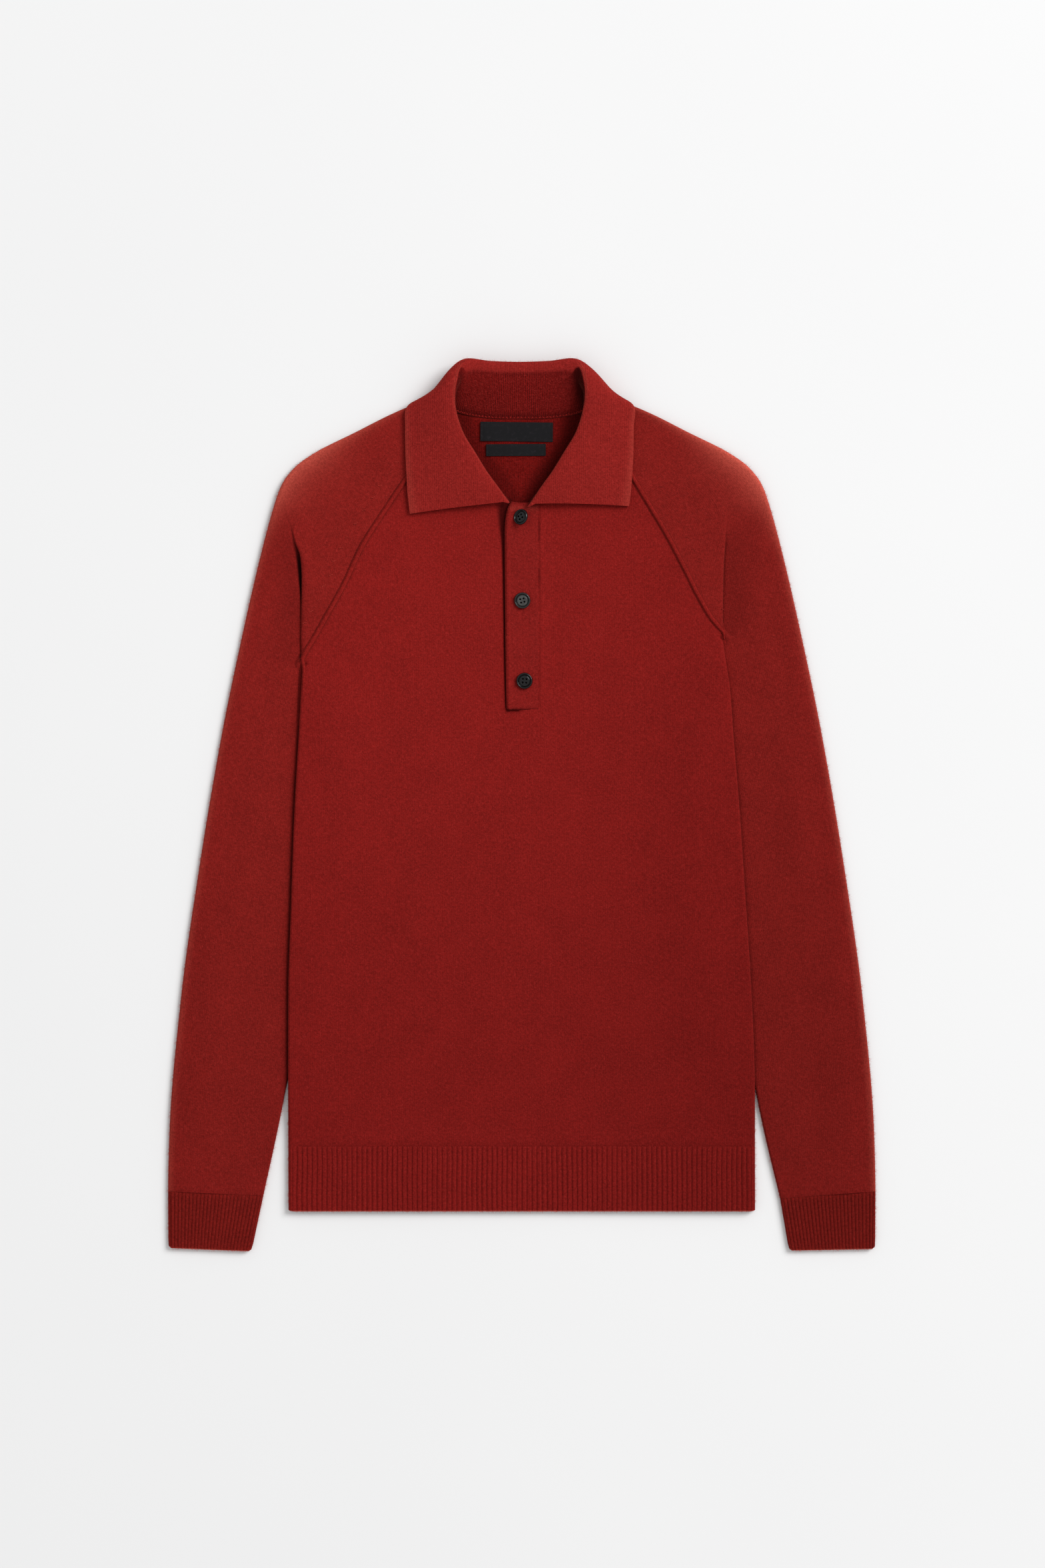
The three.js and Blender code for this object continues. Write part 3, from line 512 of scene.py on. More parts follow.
def node_group(name, vector, numbers, results):
    """A group that takes one vector and some numbers. It gives its nodes, inputs and output sockets."""
    tree = bpy.data.node_groups.new(name, "ShaderNodeTree")
    tree.interface.new_socket(vector, in_out="INPUT", socket_type="NodeSocketVector")
    for label in numbers:
        tree.interface.new_socket(label, in_out="INPUT", socket_type="NodeSocketFloat")
    for label in results:
        tree.interface.new_socket(label, in_out="OUTPUT", socket_type="NodeSocketFloat")
    nodes = Nodes(tree)
    given = [Signal(nodes, socket) for socket in tree.nodes.new("NodeGroupInput").outputs]
    return nodes, given, tree.nodes.new("NodeGroupOutput").inputs


def knit_loops():
    """Columns of interlocked loops on a piece's own knit map, which is in metres."""
    sizes, results = ["Wale", "Course", "Wander"], ["Height", "Gap"]
    nodes, (knit, wale_size, course_size, wander, *_), out = node_group("knit_loops", "Knit", sizes, results)
    shift = (nodes.noise(knit, 420.0, 3.0, 0.6) - 0.5) * wander
    wale = (nodes.axis(knit, 0) / wale_size + shift).wave()
    along = nodes.axis(knit, 1) / course_size + shift
    course = (wale * 0.55 + along).wave()
    nodes.wire(out["Height"], wale.math("POWER", 0.55) * (course * 0.4 + 0.6))
    nodes.wire(out["Gap"], 1 - wale.ranged(0.0, 0.42))
    return nodes.tree


def wool_haze():
    """The brushed surface of wool: short hairs, light and dark flecks, and slow patches of shade."""
    nodes, (spot, *_), out = node_group("wool_haze", "Place", [], ["Hairs", "Flecks", "Patches"])
    twist = nodes.noise(spot, 260.0, 1.0, output=1)
    bent = nodes.add("VectorMath", [twist, (0.004, 0.004, 0.004), spot], operation="MULTIPLY_ADD")
    up = nodes.noise(nodes.scaled(bent, (1.0, 0.22, 1.0)), 1500.0, 2.0, 0.55).ranged(0.45, 0.75)
    level = nodes.noise(nodes.scaled(bent, (0.22, 1.0, 1.0)), 1500.0, 2.0, 0.55).ranged(0.47, 0.78)
    nodes.wire(out["Hairs"], up.math("MAXIMUM", level))
    nodes.wire(out["Flecks"], nodes.noise(spot, 520.0, 4.0, 0.7))
    nodes.wire(out["Patches"], nodes.noise(spot, 34.0, 4.0, 0.55))
    return nodes.tree


class Finish(Nodes):
    """A material: nodes round one shader."""

    def __init__(self, name):
        self.material = bpy.data.materials.new(name)
        self.material.use_nodes = True
        super().__init__(self.material.node_tree)
        self.tree.nodes.clear()
        self.shader = self.tree.nodes.new("ShaderNodeBsdfPrincipled")
        output = self.tree.nodes.new("ShaderNodeOutputMaterial")
        self.tree.links.new(self.shader.outputs[0], output.inputs[0])

    def surface(self, base, roughness, specular, height=None, relief=0.0, **more):
        """Sets the shader and gives the material. relief is the depth in millimetres that height means."""
        inputs = {"Base Color": base, "Roughness": roughness, "Specular IOR Level": specular}
        inputs.update({name.replace("_", " "): value for name, value in more.items()})
        if height:
            inputs["Normal"] = self.add("Bump", {"Height": height, "Distance": relief / PER_METRE})
        for name, value in inputs.items():
            self.wire(self.shader.inputs[name], value)
        return self.material


KNIT_LOOPS = knit_loops()
WOOL_HAZE = wool_haze()
BLACK = (0.0, 0.0, 0.0, 1.0)
# Colours mixed in as painted shade: over any wool, and between the loops of the collar's stand.
PAINTED_SHADE_WOOL = paint(30, 3, 3)
LIT_WOOL = paint(212, 96, 80)
PAINTED_SHADE_STAND_GAPS = paint(62, 9, 8)
HAIR_TINT = (1.0, 0.26, 0.18, 1.0)


def wool(name, colour, deep, wale=1.6, course=1.25, loops=0.4, gap=0.13, wander=0.7, fuzz=0.14, fade=0.0,
         stand=None, grain=0.46):
    """Brushed wool knit. deep is the colour between the loops, fade darkens it slowly towards the hem, and
    stand is the colour of the part that the collar's stand marks, darker as painted shade. The wool is
    darkened towards the right as painted shade, and takes a painted highlight and painted shade from
    its mesh's masks."""
    nodes = Finish(name)
    colour, deep = paint(*colour), paint(*deep)
    spot = nodes.coordinate("Object")
    knit = nodes.group(KNIT_LOOPS, Knit=nodes.coordinate("UV"), Wale=wale / PER_METRE,
                       Course=course / PER_METRE, Wander=wander)
    haze = nodes.group(WOOL_HAZE, Place=spot)
    flecks = haze["Flecks"].ranged(0.34, 0.66)
    patches = haze["Patches"].ranged(0.3, 0.7)
    base = colour
    if stand:
        on_stand = nodes.mask("stand")
        gap = on_stand + gap
        grain = on_stand * (-0.5 * grain) + grain
        base = nodes.mix(on_stand, colour, paint(*stand))
        deep = nodes.mix(on_stand, deep, PAINTED_SHADE_STAND_GAPS)
    shade = knit["Gap"] * gap + (1 - flecks) * grain + (1 - patches) * 0.14
    if stand:
        shade = shade + (1 - knit["Height"]) * on_stand * 0.5
    base = nodes.mix(shade, base, deep)
    light = haze["Hairs"].math("MAXIMUM", haze["Flecks"].ranged(0.6, 0.8)) * 0.32
    base = nodes.mix(light, base, (*(min(1.0, c * 1.75 + 0.01) for c in colour[:3]), 1.0))
    to_hem = nodes.axis(spot, 1).ranged(0.25, -0.3, 0.0, fade)
    # Painted shade: darker towards the right side.
    painted_shade_to_right = nodes.axis(spot, 0).ranged(-0.02, 0.22, 0.0, 0.12)
    base = nodes.mix(to_hem + painted_shade_to_right, base, BLACK)
    # A painted highlight on the hairs where the mesh marks them lit, then painted shade where it marks shade.
    base = nodes.mix(nodes.mask("lit") * flecks.ranged(0.0, 1.0, 0.72, 1.0), base, LIT_WOOL)
    base = nodes.mix(nodes.mask("painted_shade"), base, PAINTED_SHADE_WOOL)
    height = knit["Height"] * loops + haze["Hairs"] * 0.5 + haze["Flecks"] * 1.3
    return nodes.surface(base, roughness=0.95, specular=0.03, height=height, relief=0.3, Sheen_Weight=fuzz,
                         Sheen_Roughness=0.35, Sheen_Tint=HAIR_TINT)


BODY_WOOL = wool("body_wool", (135, 27, 24), (88, 15, 13), fade=0.2)
SLEEVE_WOOL = wool("sleeve_wool", (133, 29, 25), (86, 16, 13), fade=0.16)
# The back's colour is darker than the body's as painted shade, for where it shows inside the neck.
BACK_WOOL_PAINTED_SHADE = wool("back_wool", (112, 16, 13), (66, 8, 6), gap=0.25, loops=0.8, grain=0.6)
RIB_WOOL = wool("rib_wool", (134, 27, 24), (86, 15, 12), wale=2.1, course=1.3, fade=0.16)
CUFF_WOOL = wool("cuff_wool", (126, 27, 22), (78, 14, 11), wale=2, course=1.3, fade=0.16)
# Its stand's colour is darker than the rest of the collar, as painted shade inside the neck.
COLLAR_WOOL = wool("collar_wool", (143, 34, 30), (97, 18, 16), course=1.1, loops=0.7, gap=0.34, wander=0.4,
                   stand=(126, 19, 16))
PLACKET_WOOL = wool("placket_wool", (130, 27, 24), (84, 15, 13), wale=1.3, course=1.2, loops=0.6, gap=0.26,
                    wander=0.3)
SEAM_WOOL = wool("seam_wool", (134, 28, 24), (86, 15, 12), wale=1.4, course=1.5, loops=0.5, gap=0.1)
# The fashion marks' colour is brighter than the cloth's, as a painted highlight on the raised stitches.
MARK_WOOL_PAINTED_HIGHLIGHT = wool("mark_wool", (150, 42, 36), (110, 24, 20), gap=0.1)
# The fibres' colour is brighter than the cloth's, as a painted highlight on the loose hairs.
FLUFF_WOOL_PAINTED_HIGHLIGHT = wool("fluff_wool", (196, 74, 58), (150, 44, 34), gap=0.0, fuzz=0.0)


def horn(name, dark, light, streak):
    """Polished horn with cloudy streaks, darkened almost to black where its mesh marks painted shade."""
    nodes = Finish(name)
    spot = nodes.coordinate("Object")
    streaks = nodes.noise(nodes.scaled(spot, (1.0, 0.35, 1.0)), 900.0, 4.0, 0.6)
    base = nodes.mix(nodes.noise(spot, 210.0).ranged(0.35, 0.7), paint(*dark), paint(*light))
    base = nodes.mix(streaks.ranged(0.55, 0.8) * 0.4, base, paint(*streak))
    base = nodes.mix(nodes.mask("painted_shade"), base, paint(2, 2, 2))
    gloss = streaks.ranged(0.3, 0.8, 0.12, 0.24)
    return nodes.surface(base, gloss, specular=0.22, height=streaks, relief=0.06, Coat_Weight=0.3,
                         Coat_Roughness=0.06)


def black_thread():
    """Dull twisted thread."""
    nodes = Finish("black_thread")
    ply = nodes.noise(nodes.scaled(nodes.coordinate("Object"), (1.0, 1.0, 3.0)), 1400.0)
    base = nodes.mix(ply, paint(5, 4, 4), paint(22, 17, 17))
    return nodes.surface(base, roughness=0.95, specular=0.02)


def woven_tape():
    """Dark satin tape: fine threads across, bound by threads along it."""
    nodes = Finish("woven_tape")
    along = nodes.coordinate("UV")
    weft = (nodes.axis(along, 1) / 0.00042).wave()
    warp = (nodes.axis(along, 0) / 0.0006).wave()
    height = weft.math("POWER", 0.5) * (warp * 0.3 + 0.7)
    worn = nodes.noise(nodes.coordinate("Object"), 300.0, 4.0, 0.6).ranged(0.5, 0.8) * 0.35
    base = nodes.mix(height, paint(14, 14, 15), paint(31, 30, 32))
    base = nodes.mix(worn, base, paint(52, 47, 51))
    return nodes.surface(base, roughness=0.7, specular=0.08, height=height, relief=0.12)


DARK_HORN = horn("dark_horn", (5, 5, 6), (10, 13, 14), (30, 27, 24))
# The middle button's grey horn stands for a painted reflection of the light on its face.
HORN_PAINTED_REFLECTION = horn("grey_horn", (52, 52, 51), (68, 69, 67), (84, 78, 70))
THREAD = black_thread()
TAPE = woven_tape()

# ---------------------------------------------------------------- front and back
FRONT_COLUMNS = 184
ROLL_COLUMNS = 9
FRONT_ROWS = 250
FRONT_TOP = 668
LEVEL_COLUMNS = FRONT_COLUMNS // 2 - ROLL_COLUMNS
NECK_POINTS = 120
NECK_END = 800
# Columns of the front from its middle, closer together where the placket's edges lie.
CLOSE_FROM, CLOSE_TO, LEVEL_END = 12.4, 21, 189
column_place = through([(0, 0), (5, CLOSE_FROM), (15, CLOSE_TO), (LEVEL_COLUMNS, LEVEL_END)])


@lru_cache(maxsize=None)
def front_edge(sign, y):
    """Where a row of the front starts to roll under, the length and turn of that roll, and its height."""
    side = side_of(sign)
    curl = pi * ease((side.armpit - y) / CURL_LENGTH)
    edge = side.raglan(y) - RAGLAN_GAP if y > side.armpit else side.edge(y) - CLOTH / 2
    top = front_height(sign * edge, y)
    length = pi * (top - back_height(sign * edge, y)) / 2
    if curl < 0.02:
        return edge - length, length, 0.0, top
    return edge - length / curl * sin(min(curl, pi / 2)), length, curl, top


def front_point(y, c, columns, level_x):
    """Column c of a row of the front, with its distance from the middle along the cloth."""
    half = columns // 2
    roll = half - ROLL_COLUMNS
    sign = -1 if c < half else 1
    s = abs(c - half)
    flat, length, curl, top = front_edge(sign, y)
    t = (s - roll) / ROLL_COLUMNS
    if s > roll and curl:
        bend = length / curl
        x = flat + bend * sin(curl * t)
        return sign * x, top - bend * (1 - cos(curl * t)), sign * (flat + length * t)
    x = level_x(s / roll, flat) if s <= roll else flat + length * t
    return sign * x, front_height(sign * x, y), sign * x


def neck_loop():
    """The collar's seam line from the left side round the front to the right side, seen from above."""
    line = [(COLLAR_MIDDLE - seam[0], seam[1], 0) for seam, *_ in COLLAR_SECTIONS[5:]]
    line += [(COLLAR_MIDDLE + seam[0], seam[1], 0) for seam, *_ in reversed(COLLAR_SECTIONS[5:])]
    curve = curve_through(line)
    return [curve(i / NECK_POINTS) for i in range(NECK_POINTS + 1)]


NECK_LOOP = neck_loop()


def in_neck(spot):
    """Whether a place in the row frame lies inside the neck, seen from above."""
    x, y = spot.x * PER_METRE - SHIFT_X, spot.y * PER_METRE - SHIFT_Y
    inside = False
    loop = [*NECK_LOOP, Vector((NECK_LOOP[-1].x, NECK_END, 0)), Vector((NECK_LOOP[0].x, NECK_END, 0))]
    for a, b in zip(loop, loop[1:] + loop[:1]):
        if (a.y > y) != (b.y > y) and x < (b.x - a.x) * (y - a.y) / (b.y - a.y) + a.x:
            inside = not inside
    return inside


def cut_placket_slit(bm):
    left, right = PLACKET.left + PLACKET.step - SEAM, PLACKET.right - 0.9
    bottom = PLACKET.bottom - SEAM
    beside = 0.004
    for x in (left, right):
        at = place(x, bottom, 0)
        slice_at(bm, at, (1, 0, 0), lambda p: abs(p.x - at.x) < beside and p.y > at.y - beside)
    at = place(0, bottom, 0)
    slice_at(bm, at, (0, 1, 0), lambda p: abs(p.x) < 0.03 and abs(p.y - at.y) < beside)
    low, high = place(left, bottom, 0), place(right, NECK_END, 0)
    cut_faces(bm, lambda p: low.x < p.x < high.x and p.y > low.y)


def cut_neck(bm):
    """Cuts the neck out of the front and draws the cut edge onto the collar's seam line."""
    cut_faces(bm, in_neck)
    loop = [place(p.x, p.y, 0) for p in NECK_LOOP]
    lowest = loop[NECK_POINTS // 2].y - 0.004
    for vert in bm.verts:
        if vert.is_boundary and abs(vert.co.x) < 0.09 and vert.co.y > lowest:
            nearest = min(loop, key=lambda p: (p.x - vert.co.x) ** 2 + (p.y - vert.co.y) ** 2)
            if (nearest - vert.co).xy.length < 0.0035:
                vert.co.x, vert.co.y = nearest.x, nearest.y


def make_front():
    def level_x(t, flat):
        x = column_place(t * LEVEL_COLUMNS)
        return x if x < CLOSE_TO else CLOSE_TO + (x - CLOSE_TO) * (flat - CLOSE_TO) / (LEVEL_END - CLOSE_TO)

    def point(c, r):
        y = mix(HEM_HEIGHT - 0.9, FRONT_TOP, r / FRONT_ROWS)
        x, z, across = front_point(y, c, FRONT_COLUMNS, level_x)
        level = 1 - ease((abs(c - FRONT_COLUMNS / 2) - LEVEL_COLUMNS + 3) / 4)
        return (x, y, z + front_relief(x, y) * mix(0.25, 1, level)), (across, y), front_painted_shade(x, y)

    bm = knitted_grid(FRONT_COLUMNS, FRONT_ROWS, point)
    cut_placket_slit(bm)
    cut_neck(bm)
    return finished("front_panel", bm, BODY_WOOL, "front", wall=CLOTH)


BACK_COLUMNS = 100
BACK_ROWS = 150
BACK_TOP = 690
# Heights up the body: where the back's rows start to follow the neckline, the front of the neck with the
# neck's depth, and the lowest part of the back that shows in the neck.
NECKLINE_FROM = 640
NECK_FRONT, NECK_DEPTH = 606, 76
SEEN_FROM = 600


def make_back():
    seam = collar_line(0)
    neckline = through([(p.x, p.y) for p in (seam(0.25 + i / 80) for i in range(41))])

    def shade(away, y, low, high, start, width):
        """The collar's soft shadow on one side. Its edge leans from low at the front to high at the back."""
        return ease((away - mix(low, high, ease((y - NECK_FRONT) / NECK_DEPTH)) + start) / width)

    def point(c, r):
        y = straight = mix(HEM_HEIGHT + 0.1, BACK_TOP, r / BACK_ROWS)
        t = c / BACK_COLUMNS * 2 - 1
        side = side_of(t)
        edge = side.raglan(straight) - RAGLAN_GAP
        if straight <= side.armpit:
            rim = side.edge(straight) - CLOTH / 2
            radius = (front_height(side.sign * rim, straight) - back_height(side.sign * rim, straight)) / 2
            edge = mix(edge, rim - radius - 0.65, ease((side.armpit - straight) / CURL_LENGTH))
        x = t * edge
        if straight > NECKLINE_FROM:
            up = (straight - NECKLINE_FROM) / (BACK_TOP - NECKLINE_FROM)
            y = mix(NECKLINE_FROM, neckline(x) - 0.8, up)
        soft = 0.5 * ease((y - SEEN_FROM) / 30) * (waver(x, y, 22, 9) + 0.6)
        dark = max(0.55 * shade(x, y, 4, 40, 12, 14), 0.3 * shade(-x, y, 2, 44, 5, 7))
        dark *= ease((y - SEEN_FROM) / 6)
        return (x, y, back_height(x, y) + soft), (x, y), dark

    return knitted("back_panel", BACK_COLUMNS, BACK_ROWS, point, BACK_WOOL_PAINTED_SHADE, "back")


# ---------------------------------------------------------------- ribs
RIB_DEPTH = 1.5
# Places across one rib, in shares of its pitch: close together at the groove, wide on the flat.
RIB_PLACES = [0, 0.07, 0.14, 0.24, 0.5, 0.76, 0.86, 0.93]
HEM_WIDTH = 402
CUFF_WIDTH = 76
CUFF_DEPTH = 50
EDGE_LIGHT = 0.4


def rib_groove(phase, pitch):
    """How deep a place across a rib lies in the groove beside it, from 0 to 1."""
    return hump(min(phase, 1 - phase) * pitch, 0.52)


def rib_share(c, count):
    """Column c of a ribbed band as a share of its width, with the phase in its rib."""
    rib, part = divmod(c, len(RIB_PLACES))
    return (rib + RIB_PLACES[part]) / count, RIB_PLACES[part]


def scallop(share, ribs):
    return 0.25 * abs(sin(pi * share * ribs))


def corner_rise(past, radius):
    """How far a rounded corner has risen at a distance past its start."""
    return radius - sqrt(radius ** 2 - clamp(past, 0, radius) ** 2)


def make_hem_front():
    half_ribs = HEM_RIBS // 2
    level = half_ribs * len(RIB_PLACES)
    columns = 2 * (level + ROLL_COLUMNS)
    rows = 16

    def point(c, r):
        y = mix(HEM_BOTTOM, HEM_HEIGHT - 0.1, r / rows) if r != 1 else HEM_BOTTOM + 0.9
        s = abs(c - columns // 2)
        share, phase = rib_share(min(s, level), half_ribs)
        lean = 0.5 * waver(share * 40, y * 0.5, 14, 20 if c < columns // 2 else 30)
        lean *= min(1, share * 8) * (share < 0.99)
        x, z, across = front_point(y, c, columns, lambda t, flat: share * flat + lean)
        end = min(y - HEM_BOTTOM, HEM_HEIGHT - y)
        groove = rib_groove(phase, HEM_WIDTH / HEM_RIBS) * ease(end / 1.2 + 0.35) if s < level else 0
        groove *= 0.86 + 0.3 * waver(share * 90, y * 0.12, 1.7, 31)
        z += 0.35 * waver(x, y, 38, 12) - RIB_DEPTH * groove
        shaped = y + corner_rise(abs(x) - 198.4, 3.2) * (1 - ease((y - HEM_BOTTOM) / 8))
        if r == 0:
            shaped -= scallop(share, half_ribs)
        # Painted shade in the grooves between the ribs, and a painted highlight on the hairs of the bottom
        # edge.
        return (x, shaped, z), (across, y), clamp(1.15 * groove), EDGE_LIGHT * (r == 0)

    return knitted("hem_front_ribs", columns, rows, point, RIB_WOOL, "hem_front", rounding=0.4)


def make_hem_back():
    columns, rows, reach = HEM_RIBS * 4, 6, 197.2

    def point(c, r):
        y = mix(HEM_BOTTOM, HEM_HEIGHT - 0.1, r / rows)
        x = mix(-reach, reach, c / columns)
        return (x, y, FLOOR + 0.2 + 0.18 * cos(2 * pi * c / 8)), (x, y)

    return knitted("hem_back_ribs", columns, rows, point, RIB_WOOL, "hem_back", CLOTH - 0.2, 0)


# ---------------------------------------------------------------- sleeves
CAP_FOLD, ARM_FOLD = 2.2, SLEEVE_LOFT / 2
SHOULDER_REACH = 26
SLEEVE_CROWN = 0.7
CAP_ROWS = 120
ARM_ROWS = 190
UNDER_COLUMNS = 12
FOLD_COLUMNS = 9
OUTSIDE_COLUMNS = 20
TUCK_COLUMNS = 16
INSIDE_COLUMNS = 14
END_COLUMNS = 6
# How far outside the underarm tuck's foot its own columns start, and how high the upper layer of cloth lies.
TUCK_HALF = 6
UPPER_LAYER = 3 / PER_METRE


def outer_at(side, y):
    slope = (outline(y + 1) - outline(y - 1)) / 2
    return Vector((side.sign * (outline(y) - CLOTH / 2 * hypot(1, slope)), y))


def rounded(radius, turn):
    """How far in and how far up a fold of cloth has come after a turn."""
    return radius * (1 - sin(turn)), radius * (1 - cos(turn))


def spread(start, end, count):
    """Places evenly spread from start to just before end."""
    return [mix(start, end, i / count) for i in range(count)]


def sleeve_section(side, row):
    """The facts of one section across a sleeve, from the neck at row 0 to the cuff."""
    outer_armpit = side.armpit + 16
    if row <= CAP_ROWS:
        i = (len(CAP_OUTER) - 1) * row / CAP_ROWS
        y = mix(side.neck, side.armpit, cap_inner(i))
        inner = Vector((side.sign * (side.raglan(y) + RAGLAN_GAP), y))
        outer = outer_at(side, mix(OUTLINE_TOP, outer_armpit, cap_outer(i)))
        top = front_height(inner.x - side.sign * SEAM, y)
        return Facts(outer=outer, inner=inner, curl=0, drop=cap_drop(i), top=top, armward=ease((i - 6) / 6))
    t = (row - CAP_ROWS) / ARM_ROWS
    y = mix(side.armpit, side.cuff.top_inner + 0.1, t)
    curl = ease(t / 0.02)
    x = side.sign * mix(side.raglan(y) + RAGLAN_GAP, side.fold(y) + CLOTH / 2, curl)
    top = mix(front_height(x, side.armpit + 1), FLOOR + SLEEVE_LOFT, curl)
    outer = outer_at(side, mix(outer_armpit, side.cuff.top_outer + 0.1, t))
    return Facts(outer=outer, inner=Vector((x, y)), curl=curl, drop=2.2 * (1 - curl), top=top, armward=1)


def tuck_place(side, outer, reach, width):
    """How far in along a section the underarm tuck lies, and how wide it gapes there."""
    tuck = (abs(outer.x) - side.tuck(outer.y)) / abs(reach.x)
    for _ in range(4):
        y = outer.y + reach.y * clamp(tuck, 0, width)
        line = side.tuck(y) if y > side.armpit else side.edge(y) + 0.4
        tuck = (abs(outer.x) - line) / abs(reach.x)
    return tuck, side.tuck_gap(clamp(y, 505, 585))


def sleeve_profile(side, section):
    """A section's (distance in, height) points from the back seam round the outer fold to the front seam."""
    outer, curl, drop = section.outer, section.curl, section.drop
    reach = section.inner - outer
    width = reach.length
    reach.normalize()
    radius = min(mix(CAP_FOLD, ARM_FOLD, section.armward), width / 5)
    crest = FLOOR + 2 * radius
    tuck, gap = tuck_place(side, outer, reach, width)
    squeeze = clamp((width - tuck) / 9, 0.25, 1)
    ridge = ARM_FOLD if curl else 3.8 * squeeze
    span = mix(2.4, 2.4 * squeeze, 0.5)
    foot = clamp(tuck, max(width * 0.25, radius + 7.2), width - ridge - span - 0.6)
    sunk_share = min(drop / 2.6, 1)
    slot = side.overhang * sunk_share ** 2 * squeeze

    # Painted shade in the slot of the underarm tuck, and a faint patch of it on the sunken cloth beside it.
    def painted_tuck_shade(inward):
        spot = outer + reach * inward
        beyond = abs(spot.x) - side.tuck(spot.y)
        core = 1 - ease((abs(beyond - gap / 2) - gap * 0.3) / (gap * 0.35 + 0.5))
        patch = 0.17 * ease(beyond / 3) * (1 - ease((beyond - 10) / 28))
        return sunk_share * (side.tuck_shade * core + patch)

    def height(inward):
        low = mix(crest, section.top - drop, ease((inward - radius) / min(SHOULDER_REACH, foot - radius)))
        swell = ease((inward - radius) / 18) - ease((inward - 32) / 22)
        return low + SLEEVE_CROWN * section.armward * swell

    points = []
    for i in range(END_COLUMNS):
        t = i / END_COLUMNS
        inward, up = rounded(ARM_FOLD, pi / 2 * (1 - t))
        points.append((mix(width - ARM_FOLD * t, width - inward, curl), FLOOR + curl * up))
    for inward in spread(width - ARM_FOLD, radius, UNDER_COLUMNS):
        points.append((inward, FLOOR))
    for turn in spread(0, pi, FOLD_COLUMNS):
        inward, up = rounded(radius, turn)
        points.append((inward, FLOOR + up))
    for inward in spread(radius, foot - TUCK_HALF, OUTSIDE_COLUMNS):
        points.append((inward, height(inward), painted_tuck_shade(inward)))
    for inward in spread(foot - TUCK_HALF, foot + span, TUCK_COLUMNS):
        step = ease((inward - foot + 2.2) / (2.2 + span))
        swing = sin(2 * pi * clamp((inward - foot + 2.4) / (2.4 + span)))
        dip = (0.6 + 0.3 * slot) * min(drop / 2, 1) * hump(inward - foot + gap / 2, gap * 0.6 + 0.5)
        points.append((inward + slot * swing * 0.6, height(inward) + drop * step - dip, painted_tuck_shade(inward)))
    for inward in spread(foot + span, width - ridge, INSIDE_COLUMNS):
        points.append((inward, height(inward) + drop, painted_tuck_shade(inward)))
    for i in range(END_COLUMNS + 1):
        t = i / END_COLUMNS
        level = mix(width - ridge, width, t)
        inward, down = rounded(ridge, pi / 2 * t)
        points.append((mix(level, width - inward, curl), height(level) + drop - curl * down))
    return outer, reach, points


# How brightly the hairs along a sleeve's outer fold are lit, and how far in, by the height up the body.
RIM_END = 440
rim_light = through([(RIM_END, 0.26), (560, 0.28), (600, 0.42), (627, 0.66), (647, 0.72), (672, 0.42),
                     (692, 0.24)])
rim_width = through([(RIM_END, 1.6), (560, 2), (600, 5), (627, 10), (647, 10), (672, 3.4), (692, 1.8)])


def make_sleeve(name, side):
    rows = CAP_ROWS + ARM_ROWS
    front_from = END_COLUMNS + UNDER_COLUMNS + FOLD_COLUMNS
    columns = front_from + OUTSIDE_COLUMNS + TUCK_COLUMNS + INSIDE_COLUMNS + END_COLUMNS
    profiles = [sleeve_profile(side, sleeve_section(side, row)) for row in range(rows + 1)]
    travelled = running_lengths((b - a).length for (a, *_), (b, *_) in zip(profiles, profiles[1:]))

    def point(c, r):
        outer, reach, points = profiles[r]
        inward, z, *painted_shade = points[c]
        spot = outer + reach * inward
        # Painted shade from the tuck, and on the front the painted shade of the slot under the body's edge.
        dark = painted_shade[0] if painted_shade else 0
        rim_y = max(outer.y, RIM_END)
        lit = clamp(rim_light(rim_y) * exp(-inward / rim_width(rim_y)) * side.rim_light)
        if c >= front_from:
            away = ease((c - front_from) / 5) * ease((columns - c) / 5)
            soft = 0.3 * waver(spot.x, spot.y * 0.5, 30, 7) + crease_height(ARM_CREASES, abs(spot.x), spot.y)
            z += soft * away
            dark = max(dark, side_slot(side, spot.x, spot.y))
        seen = c >= front_from - FOLD_COLUMNS // 2
        return (spot.x, spot.y, z), (inward if seen else -inward, travelled[r]), dark, lit * seen

    bm = knitted_grid(columns, rows, point)
    cut_faces(bm, lambda p: p.z > UPPER_LAYER and in_neck(p))
    return finished(name + "_knit", bm, SLEEVE_WOOL, name, wall=CLOTH)


